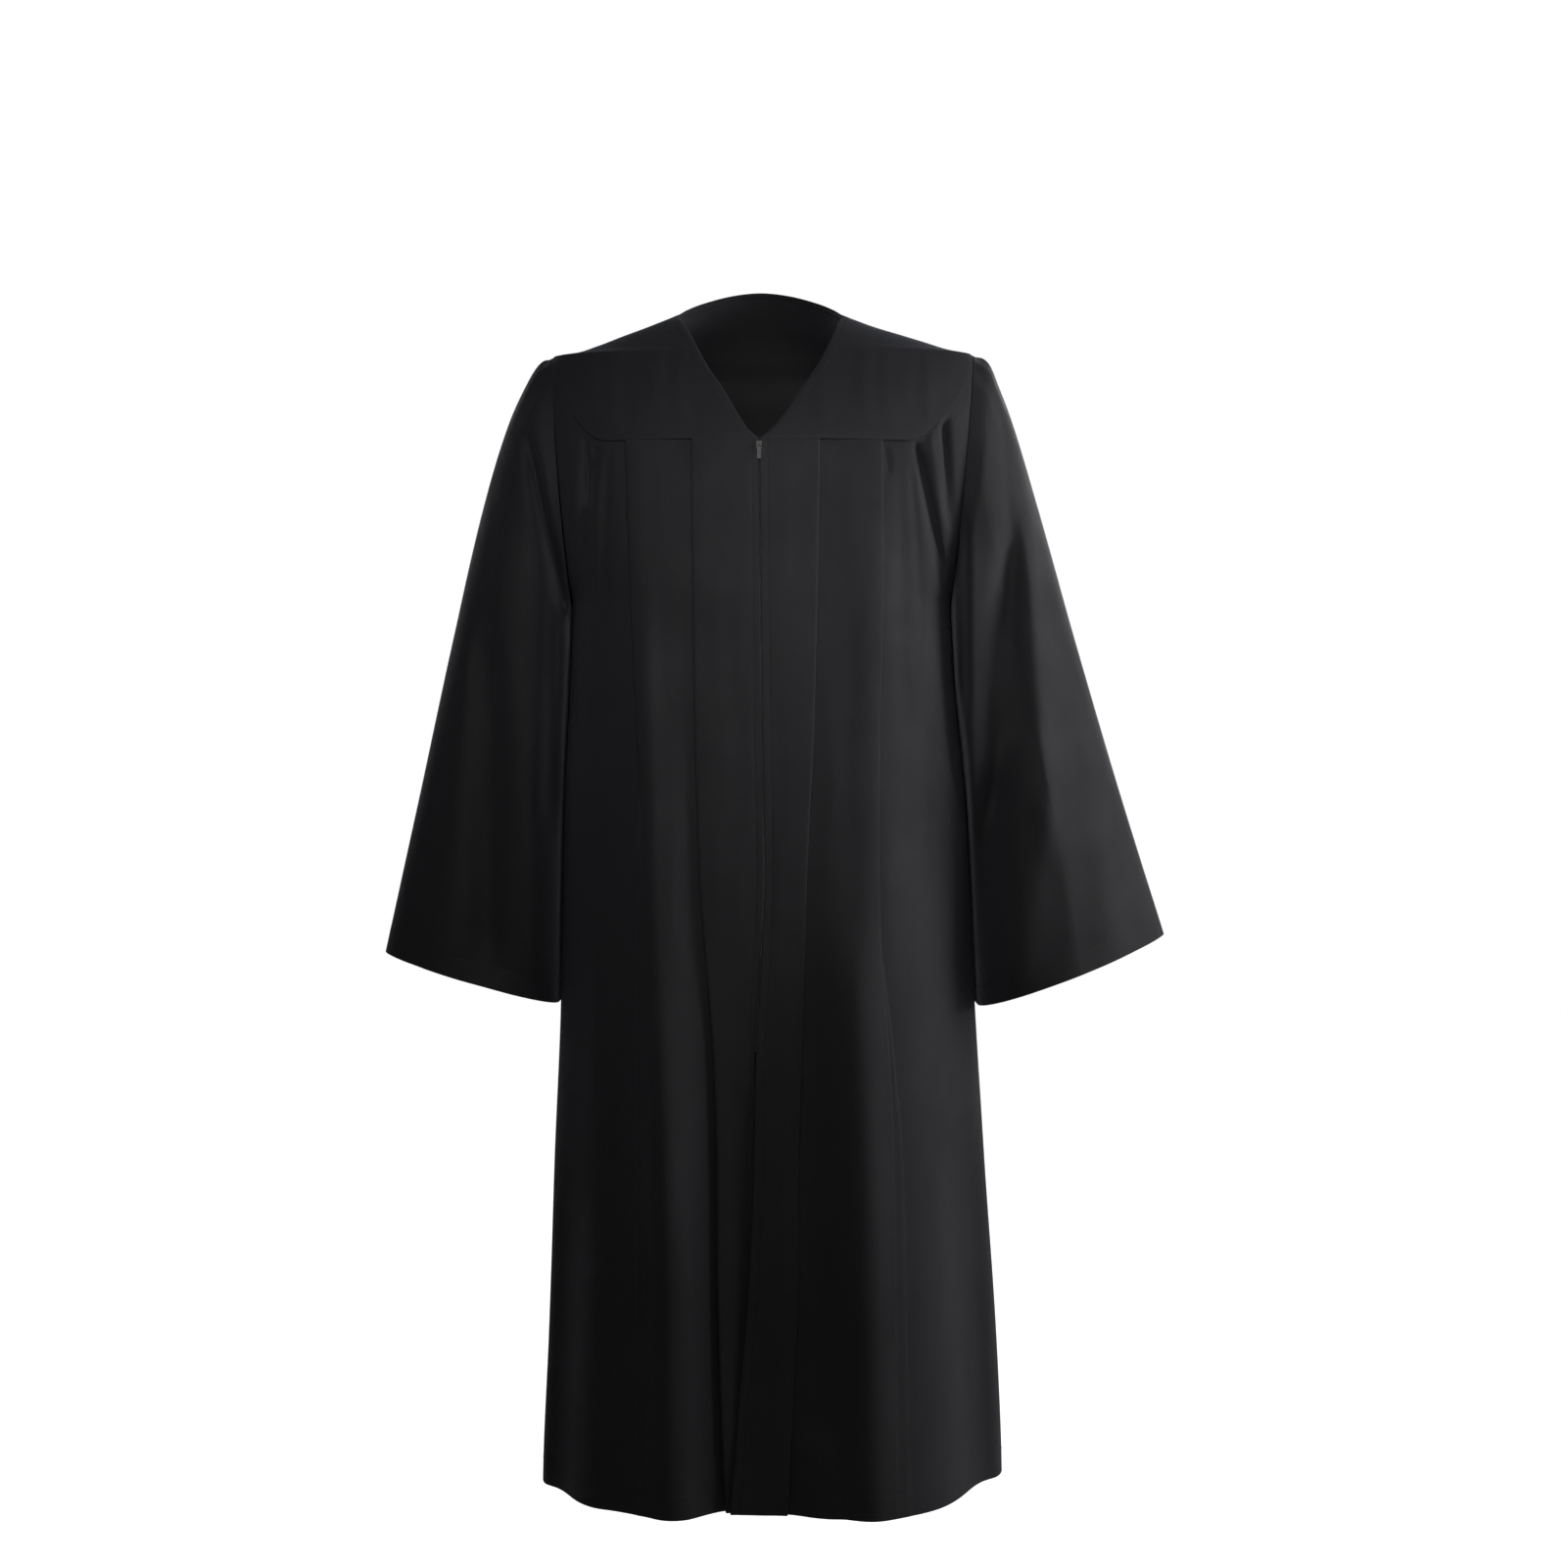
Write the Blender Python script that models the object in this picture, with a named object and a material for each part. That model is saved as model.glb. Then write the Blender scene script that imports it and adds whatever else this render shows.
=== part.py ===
"""Graduation gown, filled out as it is worn: yokes, pleated fronts and back, bell sleeves, zip.

Metres, +Z up. The front faces -Y and the centre of the neck opening is at the origin.
Every cloth piece is a surface worked out from the gown's sizes, given the wall of the cloth.
"Out" is the distance from the centre line towards one side, and "back" the distance that a
fold lies behind the plain surface of the gown.
"""
import math
from bisect import bisect_right

import bmesh
import bpy
from mathutils import Matrix, Vector

MM = 0.001

# Driving sizes
CLOTH = 1.2 * MM          # wall of one layer
TRIM = 0.18 * MM          # each piece stops this far short of the seam line
SEAM_GAP = 0.6 * MM       # more room at the curved seam of the front yoke
HEM = -1261.5 * MM        # height of the lower edge
YOKE_SEAM = -143.0 * MM   # height of the straight part of the front yoke seam
BACK_SEAM = -165.0 * MM   # height of the back yoke seam
NECK_HALF = 90.0 * MM     # half the width of the neck at the shoulder seams
NECK_HEIGHT = 7.5 * MM    # height of the neck edge at the shoulder seams
NAPE_RISE = 40.0 * MM     # the back of the neck above that
NAPE_BACK = 80.0 * MM     # the back of the neck behind the shoulder seams
NAPE_BLEND = 127.0 * MM   # height over which the back takes up its own depth
NAPE_SPREAD = 60.0 * MM   # depth below the neck edge at which that bulge is widest and softest
SQUARENESS = 2.35         # 2 is an ellipse, more is a squarer section
SIDES = {"left": -1.0, "right": 1.0}


class Table:
    """Rows of millimetres with named columns, read as smooth curves of the first column."""

    def __init__(self, names, *rows):
        rows = sorted(rows)
        self.keys = [row[0] * MM for row in rows]
        self.columns = {}
        for index, name in enumerate(names.split()):
            self.columns[name] = [row[index] * MM for row in rows]

    def __call__(self, name, key):
        keys, values = self.keys, self.columns[name]
        if key <= keys[0]:
            return values[0]
        if key >= keys[-1]:
            return values[-1]
        i = bisect_right(keys, key) - 1
        step = keys[i + 1] - keys[i]
        t = (key - keys[i]) / step
        start, end = self.slope(values, i) * step, self.slope(values, i + 1) * step
        return ((2 * t**3 - 3 * t**2 + 1) * values[i] + (t**3 - 2 * t**2 + t) * start
                + (3 * t**2 - 2 * t**3) * values[i + 1] + (t**3 - t**2) * end)

    def slope(self, values, i):
        """Slope at a row, which never lets the curve overshoot its rows."""
        steep = [(values[k + 1] - values[k]) / (self.keys[k + 1] - self.keys[k])
                 for k in (i - 1, i) if 0 <= k < len(values) - 1]
        if len(steep) == 1:
            return steep[0]
        before, after = steep
        return 0.0 if before * after <= 0 else 2 * before * after / (before + after)


# Body: how far the side seams lie out and how deep the front and back are, at each height.
BODY = Table(
    "height left right side front back",
    (47.5, 204, 208, 0, 0, 0),
    (30, 204, 208, 0, 0, 15),
    (7.5, 204, 208, 0, 0, 43),
    (0, 204, 208, 0, 18, 54),
    (-22, 204, 208, 0, 43, 84),
    (-50, 204, 208, 0, 66, 117),
    (-87, 204, 208, 0, 88, 135),
    (-143, 204, 208, 0, 110, 148),
    (-200, 204, 208, 0, 122, 154),
    (-280, 204, 207.5, 0, 133, 157),
    (-310, 204.2, 207.8, 0, 137, 157),
    (-410, 207.5, 213, 0, 143, 156),
    (-520, 213, 224, 0, 148, 156),
    (-754, 217.4, 235.6, 4, 155, 158),
    (-915, 223.8, 246, 7, 158, 160),
    (-1108, 230, 259.5, 12, 162, 163),
    (-1237, 235.2, 265.6, 17, 166, 166),
    (-1261.5, 235.6, 266.2, 18, 166.5, 167),
)
# Shoulder line, from the neck (0) to the armhole (1000), and how far out it ends.
SHOULDER = Table("along left right", (0, 7.5, 7.5), (250, -7, -6.6), (450, -17.5, -15.5),
                 (650, -28.5, -24.5), (850, -37.5, -33.5), (1000, -40.5, -37.5))
SHOULDER_END = {"left": 226.7 * MM, "right": 232.2 * MM}
UNDERARM = -310.0 * MM
ZIP_END = (UNDERARM + HEM) / 2  # the zip is sewn in down to here, and below it the fronts lap
ARMHOLE_FRONT = 62.0 * MM
ARMHOLE_BACK = 66.0 * MM
# The V of the neck, from the shoulder seam down to the zip.
NECK_V = Table("height left right", (7.5, 90, 90), (-22, 75, 80), (-61, 56, 62), (-87, 39.5, 45),
               (-113, 25, 29), (-135, 11, 12), (-143, 1.4, 1.4))
# The front yoke seam is straight as far out as "bend", then sweeps up to the armhole.
SEAM_BEND = {"left": 163.0 * MM, "right": 155.0 * MM}
SEAM_RISE = 81.0 * MM
SEAM_POWER = 1.8

# Knife pleats. "edge" is the zip edge; "inner" and "outer" are the folded edges. A pleat laps
# "lap" over its own return, with "layer" between one layer and the next, and a lap below zero
# is a pleat that has opened. "swell" lifts the panel between the two pleats.
PLEAT_COLUMNS = ("height edge inner outer edge_back inner_back inner_lap inner_layer "
                 "outer_lap outer_layer swell")
FRONT_PLEATS = {
    "left": Table(
        PLEAT_COLUMNS,
        (-143, 1.2, 70, 140.5, 0, 0, 12, 1.9, 12, 1.9, 0),
        (-300, -0.6, 68, 134, 0, 0, 12, 1.9, 9, 1.9, 1.5),
        (-446, -2.3, 65.5, 126, 1, 0.5, 11, 2.0, 4, 1.7, 4),
        (-598, -4.4, 60.4, 121, 4, 2, 10, 2.3, -6, 1.0, 6),
        (-800, 4.7, 45, 117, 10, 5, 8, 3.0, -12, 0.8, 8),
        (-900, 4.2, 41.8, 115, 19, 10, 7, 3.6, -14, 0.8, 9),
        (-1020, 2, 41, 114, 27, 15, 7, 4.0, -16, 0.8, 9),
        (-1168, 0, 36.7, 112, 30, 18, 6, 4.2, -18, 0.8, 7),
        (-1261.5, -2, 32, 110, 28, 21, 6, 4.2, -20, 0.8, 6),
    ),
    "right": Table(
        PLEAT_COLUMNS,
        (-143, 1.2, 62.8, 129.8, 0, 0, 12, 1.9, 12, 1.9, 0),
        (-300, 3.0, 60, 130, 0, 0, 12, 1.9, 12, 1.9, 1.5),
        (-446, 4.7, 56.2, 125.5, 1, 0.5, 11, 1.9, 10, 1.9, 3),
        (-598, 6.8, 49.1, 124.5, 4, 2, 9, 2.0, 5, 1.6, 4.5),
        (-800, -2.3, 44, 134, 8, 4, 8, 2.3, -8, 0.9, 7),
        (-900, -4.0, 40.5, 137, 12, 7, 7, 2.6, -14, 0.8, 8),
        (-1020, -9, 39.9, 138, 16, 9, 6, 2.6, -16, 0.8, 8),
        (-1168, -21, 33, 139, 17, 11, 6, 2.6, -18, 0.8, 7),
        (-1261.5, -28.5, 28.8, 140, 13, 11, 6, 2.6, -20, 0.8, 6),
    ),
}
BACK_PLEATS = Table(
    PLEAT_COLUMNS,
    (-165, 0, 62, 126, 0, 0, 12, 1.9, 12, 1.9, 0),
    (-400, 0, 63, 130, 0, 0, 12, 1.9, 10, 1.9, 3),
    (-700, 0, 66, 138, 3, 2, 10, 2.4, 5, 1.6, 6),
    (-900, 0, 68, 142, 5, 4, 8, 3.0, -8, 0.9, 8),
    (-1261.5, 0, 72, 150, 8, 6, 7, 3.6, -18, 0.8, 9),
)
FOOT = 2.0 * MM  # the cloth lies flat this far past a pleat before it swells

# Soft folds of the body: troughs that run down from one place to another on one face. With a
# depth below zero they are ridges.
FOLD_COLUMNS = "face side top_out top_height low_out low_height width depth"
BODY_FOLDS = (
    ("front", "right", 168, -146, 196, -290, 7, 9),
    ("front", "right", 196, -95, 206, -225, 5, 5),
    ("front", "right", 124, -240, 130, -660, 26, -6),
    ("front", "right", 98, -640, 118, -1300, 32, -16),
    ("front", "right", 150, -640, 162, -1300, 42, -15),
    ("front", "right", 60, -720, 66, -1120, 22, 8),
    ("front", "right", 62, -1180, 64, -1300, 26, -8),
    ("front", "right", 212, -600, 236, -1300, 28, 16),
    ("front", "right", 226, -900, 244, -1300, 26, 24),
    ("front", "left", 172, -140, 186, -215, 6, 5),
    ("front", "left", 124, -330, 98, -980, 26, -11),
    ("front", "left", 100, -760, 82, -1300, 38, -16),
    ("front", "left", 196, -640, 214, -1300, 26, 16),
    ("front", "left", 208, -950, 220, -1300, 22, 20),
    ("back", "left", 165, -175, 188, -290, 8, 6),
    ("back", "left", 190, -520, 212, -1300, 26, 14),
    ("back", "left", 110, -700, 118, -1300, 40, -8),
    ("back", "right", 168, -175, 192, -285, 8, 6),
    ("back", "right", 196, -480, 226, -1300, 28, 14),
    ("back", "right", 122, -650, 132, -1300, 40, -9),
)
FOLD_START = 30.0 * MM   # below the seam above them, over which the folds take up their depth

# Sleeves, from the armhole (0) to the cuff (1000): the line over the arm, the line under it,
# how far the front and back stand off the plane between them, and how square the section is.
SLEEVE_COLUMNS = ("along outer outer_height inner inner_height front back "
                  "outer_square front_square back_square")
SLEEVES = {
    "left": Table(
        SLEEVE_COLUMNS,
        (0, 227.3, -40.5, 206.3, -310, 62, 66, 2000, 2000, 2000),
        (30, 243, -52, 207.2, -322, 65, 69, 2000, 2050, 2600),
        (70, 256.5, -73, 207.8, -336, 68, 72, 1950, 2100, 4500),
        (130, 274, -110, 208.2, -357, 71, 76, 1850, 2200, 6000),
        (250, 301, -197, 209.9, -402, 74, 82, 1750, 2400, 6500),
        (450, 336.5, -350, 213.7, -480, 76, 88, 1700, 2600, 6500),
        (700, 372, -515, 217.0, -590, 74, 94, 1700, 2500, 6500),
        (1000, 410.3, -690, 220.3, -745, 70, 98, 1700, 2300, 5000),
    ),
    "right": Table(
        SLEEVE_COLUMNS,
        (0, 232.8, -37.5, 209.9, -310, 62, 66, 2000, 2000, 2000),
        (30, 250.3, -49.5, 210.6, -322, 66, 69, 2000, 2100, 2600),
        (70, 260.8, -72, 211.2, -336, 70, 72, 1900, 2600, 4500),
        (130, 276.2, -111, 212.2, -357, 74, 76, 1750, 4000, 6000),
        (250, 302.5, -197, 214.2, -402, 80, 81, 1550, 8000, 6500),
        (450, 345.5, -350, 222.2, -480, 86, 86, 1450, 9000, 7000),
        (700, 394, -515, 230.5, -590, 92, 90, 1450, 2800, 6500),
        (1000, 442.7, -670.9, 238.3, -748, 98, 92, 1450, 2300, 5000),
    ),
}
GATHERS = 5               # soft folds of the gathered head, on each sleeve
GATHER_SPREAD = math.radians(62.0)
GATHER_HEIGHT = 3.0 * MM
GATHER_REACH = 0.10       # share of the sleeve's length over which they die away
SLEEVE_FOLDS = {
    "left": (
        ("front", 290, -330, 266, -700, 20, 18),
        ("front", 246, -420, 240, -700, 16, -8),
        ("back", 268, -300, 300, -700, 26, 13),
        ("back", 322, -360, 352, -700, 16, 6),
    ),
    "right": (
        ("front", 228, -200, 229, -560, 10, -13),
        ("front", 254, -190, 266, -480, 14, 15),
        ("front", 284, -220, 308, -540, 14, -12),
        ("front", 308, -460, 264, -700, 18, -15),
        ("back", 275, -260, 305, -700, 26, 13),
        ("back", 330, -330, 372, -690, 16, 6),
    ),
}

# Mesh steps of the solids
STRIP_STEPS, PANEL_STEPS, SIDE_STEPS = 2, 5, 9
ROWS_TO_UNDERARM, ROWS_TO_HEM = 4, 10
YOKE_STEPS_DOWN = 7
NECK_STEPS, SHOULDER_STEPS, BACK_YOKE_ROWS = 5, 5, 7
SLEEVE_ROWS = (0.0, 0.025, 0.06, 0.11, 0.18, 0.27, 0.37, 0.48, 0.60, 0.73, 0.87, 1.0)
HEAD_STEPS, UNDER_STEPS = 22, 26

# Zip
ZIP_CHAIN = 1.5 * MM
ZIP_TAPE = 20.0 * MM
ZIP_TAPE_WALL = 1.0 * MM
ZIP_CLEARANCE = 0.7 * MM
SLIDER_TOP = -146.0 * MM
SLIDER_SIZE = Vector((5.6, 1.4, 9.0)) * MM
PIN_RADIUS = 0.5 * MM
PULL_CLEARANCE = 0.3 * MM
PULL_EYE_RADIUS = 1.35 * MM
PULL_WIDTH = 4.0 * MM
PULL_EYE_WIDTH = 2.2 * MM
PULL_LENGTH = 15.0 * MM
PULL_SHOULDER = 2.8 * MM  # the tab is at its full width below this
PULL_WALL = 0.9 * MM
LUG_WALL = 0.9 * MM


def blend(a, b, t):
    return a + (b - a) * t


def ease(t):
    t = min(max(t, 0.0), 1.0)
    return t * t * (3 - 2 * t)


# The gown's own surface

def top_height(side, out):
    """Height of the neck edge behind the neck, and of the shoulder line outside it."""
    if out < NECK_HALF:
        return NECK_HEIGHT + NAPE_RISE * max(math.cos(out / NECK_HALF * math.pi / 2), 0.0) ** 0.65
    along = (out - NECK_HALF) / (SHOULDER_END[side] - NECK_HALF)
    return SHOULDER(side, along * 1000 * MM)


def top_half_width(side, height):
    """How far out the neck edge or the shoulder line is at a height."""
    low, high = 0.0, SHOULDER_END[side]
    for _ in range(30):
        middle = (low + high) / 2
        if top_height(side, middle) > height:
            low = middle
        else:
            high = middle
    return (low + high) / 2


def armhole(side, height, depth):
    """Where the armhole is at a height: how far out, and how far forward or back."""
    top = SHOULDER(side, 1000 * MM)
    share = min(max((top - height) / (top - UNDERARM), 0.0), 1.0)
    out = blend(SHOULDER_END[side], BODY(side, UNDERARM), share)
    return out, depth * math.sqrt(max(1 - (2 * share - 1) ** 2, 0.0))


def edge_out(side, height):
    """How far out the body's pieces end: at the armhole, and below it at the side seam."""
    if height > UNDERARM:
        return armhole(side, height, 0.0)[0]
    return BODY(side, height)


def section_half(face, side, height):
    """Half the width of the section that passes through the armhole or the side seam."""
    top = SHOULDER(side, 1000 * MM)
    if height >= top:
        return top_half_width(side, height)
    if height <= UNDERARM:
        return BODY(side, height)
    out, depth = armhole(side, height, ARMHOLE_FRONT if face == "front" else ARMHOLE_BACK)
    share = min(depth / BODY(face, height), 0.99)
    return out / (1 - share**SQUARENESS) ** (1 / SQUARENESS)


def surface_y(face, side, out, height, back=0.0):
    """Depth of the gown's surface, and of a fold that lies back from it."""
    share = min(abs(out) / section_half(face, side, height), 1.0)
    depth = BODY(face, height) * (1 - share**SQUARENESS) ** (1 / SQUARENESS)
    seam = BODY("side", height) * share**4 * SIDES[side]
    if face == "front":
        return seam - depth + back
    fade = 1 - ease((top_height(side, 0.0) - height) / NAPE_BLEND)
    spread = ease((top_height(side, out) - height) / NAPE_SPREAD)
    round_neck = max(1 - (out / (NECK_HALF * (1 + 0.8 * spread))) ** 2, 0.0)
    return seam + depth + NAPE_BACK * fade * round_neck ** (0.5 + spread) - back


def surface_way(face, side, out, height):
    """Way out of the gown's plain surface at one place."""
    here = surface_y(face, side, out, height)
    across = (here - surface_y(face, side, out - MM, height)) / MM
    along = (here - surface_y(face, side, out, height - MM)) / MM
    way = Vector((-SIDES[side] * across, 1, -along)).normalized()
    return -way if face == "front" else way


def trough(folds, out, height):
    """How far the soft folds in a list press the cloth in at one place."""
    total = 0.0
    for top_out, top, low_out, low, width, depth in folds:
        along = (top * MM - height) / ((top - low) * MM)
        if -0.15 < along < 1.15:
            middle = blend(top_out, low_out, along) * MM
            strength = ease((along + 0.15) / 0.35) * ease((1.15 - along) / 0.25)
            total += depth * MM * strength * math.exp(-((out - middle) / (width * MM)) ** 2)
    return total


def body_fold(face, side, out, height):
    """How far the body's soft folds press the cloth in at one place. They start at the seam."""
    seam = yoke_seam_height(side, out) if face == "front" else BACK_SEAM
    folds = [row[2:] for row in BODY_FOLDS if row[0] == face and row[1] == side]
    return trough(folds, out, height) * ease((seam - height) / FOLD_START)


# Pleated panels

def knife_pleat(line, back, lap, layer):
    """The folded edge, the return under it, the fold below that, and a flat foot."""
    opened = max(-lap, 0.0)
    folded = max(lap, 0.0)
    return [(line, back),
            (line + opened * 0.33, back + layer),
            (line - folded + opened * 0.66, back + layer),
            (line - lap, back + 2 * layer),
            (line + opened + FOOT, back + 2 * layer)]


def half_section(face, side, pleats, height, steps):
    """One half of a pleated section, from the centre out, as pairs of out and back."""
    strip, panel, sides = steps
    size = {name: pleats(name, height) for name in PLEAT_COLUMNS.split()[1:]}
    points = []
    for k in range(strip):
        points.append((blend(size["edge"], size["inner"], k / strip),
                       blend(size["edge_back"], size["inner_back"], ease(k / strip))))
    inner = knife_pleat(size["inner"], size["inner_back"], size["inner_lap"], size["inner_layer"])
    outer = knife_pleat(size["outer"], 0.0, size["outer_lap"], size["outer_layer"])
    points += inner
    start, low = inner[-1]
    for k in range(1, panel):
        share = k / panel
        rise = low * (1 - ease(share)) - size["swell"] * math.sin(math.pi * share)
        points.append((blend(start, size["outer"], share), rise))
    points += outer
    start, low = outer[-1]
    half = section_half(face, side, height)
    first = math.asin(min(start / half, 1.0) ** (SQUARENESS / 2))
    last = math.asin(min(edge_out(side, height) / half, 1.0) ** (SQUARENESS / 2))
    points = [(out, back + body_fold(face, side, out, height)) for out, back in points]
    for k in range(1, sides + 1):
        out = half * math.sin(blend(first, last, k / sides)) ** (2 / SQUARENESS)
        fold = body_fold(face, side, out, height) * (1 - (k / sides) ** 6)
        points.append((out, low * (1 - ease(k / sides)) + fold))
    return points


def yoke_seam_height(side, out):
    """Height of the front yoke seam at a distance out."""
    bend = SEAM_BEND[side]
    end = armhole(side, YOKE_SEAM + SEAM_RISE, 0.0)[0]
    share = min(max((out - bend) / (end - bend), 0.0), 1.0)
    return YOKE_SEAM + SEAM_RISE * share**SEAM_POWER


def panel_heights(top, rows):
    """Heights of a panel's points down one column, with a row at the underarm."""
    return ([blend(top, UNDERARM, k / rows[0]) for k in range(rows[0])]
            + [blend(UNDERARM, HEM, k / rows[1]) for k in range(rows[1] + 1)])


def panel_tops(face, side, pleats, seam_height, steps):
    """Height at which each column of a pleated half meets the seam above it."""
    tops = []
    for i in range(len(half_section(face, side, pleats, HEM, steps))):
        top = seam_height(side, 0.0)
        for _ in range(12):
            top = seam_height(side, half_section(face, side, pleats, top, steps)[i][0])
        tops.append(top)
    return tops


def panel_half(face, side, pleats, seam_height, steps, rows):
    """Grid of one pleated half: a column of points for each place across, from the top down."""
    columns = []
    for i, top in enumerate(panel_tops(face, side, pleats, seam_height, steps)):
        column = []
        for height in panel_heights(top, rows):
            out, back = half_section(face, side, pleats, height, steps)[i]
            y = surface_y(face, side, out, height, back)
            column.append(Vector((SIDES[side] * out, y, height)))
        columns.append(column)
    return columns


def front_grid(side, steps=(STRIP_STEPS, PANEL_STEPS, SIDE_STEPS),
               rows=(ROWS_TO_UNDERARM, ROWS_TO_HEM)):
    return panel_half("front", side, FRONT_PLEATS[side], yoke_seam_height, steps, rows)


def back_grid(steps=(STRIP_STEPS, PANEL_STEPS, SIDE_STEPS),
              rows=(ROWS_TO_UNDERARM, ROWS_TO_HEM)):
    halves = [panel_half("back", side, BACK_PLEATS, lambda *_: BACK_SEAM, steps, rows)
              for side in ("left", "right")]
    return halves[0][:0:-1] + halves[1]


# Yokes

def front_seam_points(side, steps):
    """The front yoke seam, a point for each column of the front that isn't inside a pleat."""
    strip, panel, _ = steps
    tops = panel_tops("front", side, FRONT_PLEATS[side], yoke_seam_height, steps)
    hidden = [first + k for first in (strip, strip + 4 + panel) for k in (1, 2, 3, 4)]
    points = []
    for i, top in enumerate(tops):
        if i not in hidden:
            out = half_section("front", side, FRONT_PLEATS[side], top, steps)[i][0]
            points.append(Vector((out, top)))
    return points


def front_yoke_grid(side, steps=(STRIP_STEPS, PANEL_STEPS, SIDE_STEPS), down=YOKE_STEPS_DOWN):
    """Front yoke: a patch between the V, the shoulder line, the armhole and the yoke seam."""
    shoulder = SHOULDER(side, 1000 * MM)
    seam = front_seam_points(side, steps)
    across = len(seam) - 1

    def top(u):
        out = blend(NECK_HALF, SHOULDER_END[side], u)
        return Vector((out, top_height(side, out)))

    def bottom(i):
        along = (seam[min(i + 1, across)] - seam[max(i - 1, 0)]).normalized()
        return seam[i] + Vector((-along.y, along.x)) * SEAM_GAP * (1 + along.y)

    def neck(v):
        height = blend(NECK_HEIGHT, bottom(0).y, v)
        return Vector((NECK_V(side, height), height))

    def arm(v):
        height = blend(shoulder, bottom(across).y, v)
        return Vector((armhole(side, height, 0.0)[0], height))

    columns = []
    for i in range(across + 1):
        u = (seam[i].x - seam[0].x) / (seam[across].x - seam[0].x)
        column = []
        for j in range(down + 1):
            v = (j / down) ** 1.7
            corners = (top(0) * (1 - u) * (1 - v) + top(1) * u * (1 - v)
                       + bottom(0) * (1 - u) * v + bottom(across) * u * v)
            flat = top(u) * (1 - v) + bottom(i) * v + neck(v) * (1 - u) + arm(v) * u - corners
            if j == down:
                flat = bottom(i)
            if j == 0:
                y = 0.0
            elif i == across:
                y = -armhole(side, flat.y, ARMHOLE_FRONT)[1]
            else:
                y = surface_y("front", side, flat.x, flat.y)
            column.append(Vector((SIDES[side] * flat.x, y, flat.y)))
        columns.append(column)
    return columns


def back_yoke_grid(neck=NECK_STEPS, shoulder=SHOULDER_STEPS, rows=BACK_YOKE_ROWS):
    """Back yoke, from the neck edge and the shoulder lines down to its straight seam."""
    columns = []
    for side in ("left", "right"):
        half = []
        for i in range(neck + shoulder + 1):
            if i < neck:
                out = NECK_HALF * math.sin(i / neck * math.pi / 2)
            else:
                out = blend(NECK_HALF, SHOULDER_END[side], (i - neck) / shoulder)
            top = top_height(side, out)
            low_out = out / SHOULDER_END[side] * armhole(side, BACK_SEAM, 0.0)[0]
            column = []
            for j in range(rows + 1):
                v = (j / rows) ** 1.7
                height = blend(top, BACK_SEAM, v)
                place = blend(out, low_out, v)
                y = surface_y("back", side, place, height)
                if j == 0:
                    y = NAPE_BACK * math.sqrt(max(1 - (out / NECK_HALF) ** 2, 0.0))
                elif i == neck + shoulder:
                    y = armhole(side, height, ARMHOLE_BACK)[1]
                column.append(Vector((SIDES[side] * place, y, height)))
            half.append(column)
        columns = half[:0:-1] if side == "left" else columns + half
    return columns


# Sleeves

def ring_angles(head=HEAD_STEPS, under=UNDER_STEPS):
    """Angles round the sleeve, 0 over the arm, closer together over the gathered head."""
    angles = [blend(-GATHER_SPREAD, GATHER_SPREAD, k / head) for k in range(head)]
    return angles + [blend(GATHER_SPREAD, 2 * math.pi - GATHER_SPREAD, k / under)
                     for k in range(under)]


def sleeve_point(side, along, angle):
    """A point of the sleeve's surface. Angles grow from over the arm towards the back."""
    sleeve = SLEEVES[side]
    size = {name: sleeve(name, along * 1000 * MM) for name in SLEEVE_COLUMNS.split()[1:]}
    square = "outer_square"
    if math.cos(angle) < 0:
        square = "front_square" if math.sin(angle) < 0 else "back_square"
    power = 2000 * MM / size[square]
    across = math.copysign(abs(math.cos(angle)) ** power, math.cos(angle))
    sideways = math.copysign(abs(math.sin(angle)) ** power, math.sin(angle))
    outer = Vector((size["outer"], 0, size["outer_height"]))
    inner = Vector((size["inner"], 0, size["inner_height"]))
    point = (outer + inner) / 2 + (outer - inner) / 2 * across
    turned = abs(math.atan2(math.sin(angle), math.cos(angle)))
    if turned < GATHER_SPREAD:
        fade = ease(along / 0.02) * math.exp(-(along / GATHER_REACH) ** 2)
        edge = math.cos(turned / GATHER_SPREAD * math.pi / 2)
        wave = math.cos(angle / GATHER_SPREAD * GATHERS * math.pi / 2 * 2)
        point += (outer - inner).normalized() * GATHER_HEIGHT * fade * edge * wave
    face = "back" if sideways > 0 else "front"
    folds = [row[1:] for row in SLEEVE_FOLDS[side] if row[0] == face]
    fold = trough(folds, point.x, point.z) * min(abs(sideways) * 1.3, 1.0)
    y = size["back"] * sideways - fold if sideways > 0 else size["front"] * sideways + fold
    return Vector((SIDES[side] * point.x, y, point.z))


def sleeve_grid(side, rows=SLEEVE_ROWS, angles=None):
    return [[sleeve_point(side, along, angle) for along in rows]
            for angle in angles or ring_angles()]


# From a surface to a solid with the wall of the cloth

def mitre(before, after, down):
    """Sideways step of a corner between two runs of cloth, one wall's half from either."""
    first, second = before.cross(down), after.cross(down)
    first.normalize()
    second.normalize()
    middle = first + second
    if middle.length < 1e-6:
        return first
    middle.normalize()
    return middle / max(middle.dot(second), 0.6)


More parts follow.
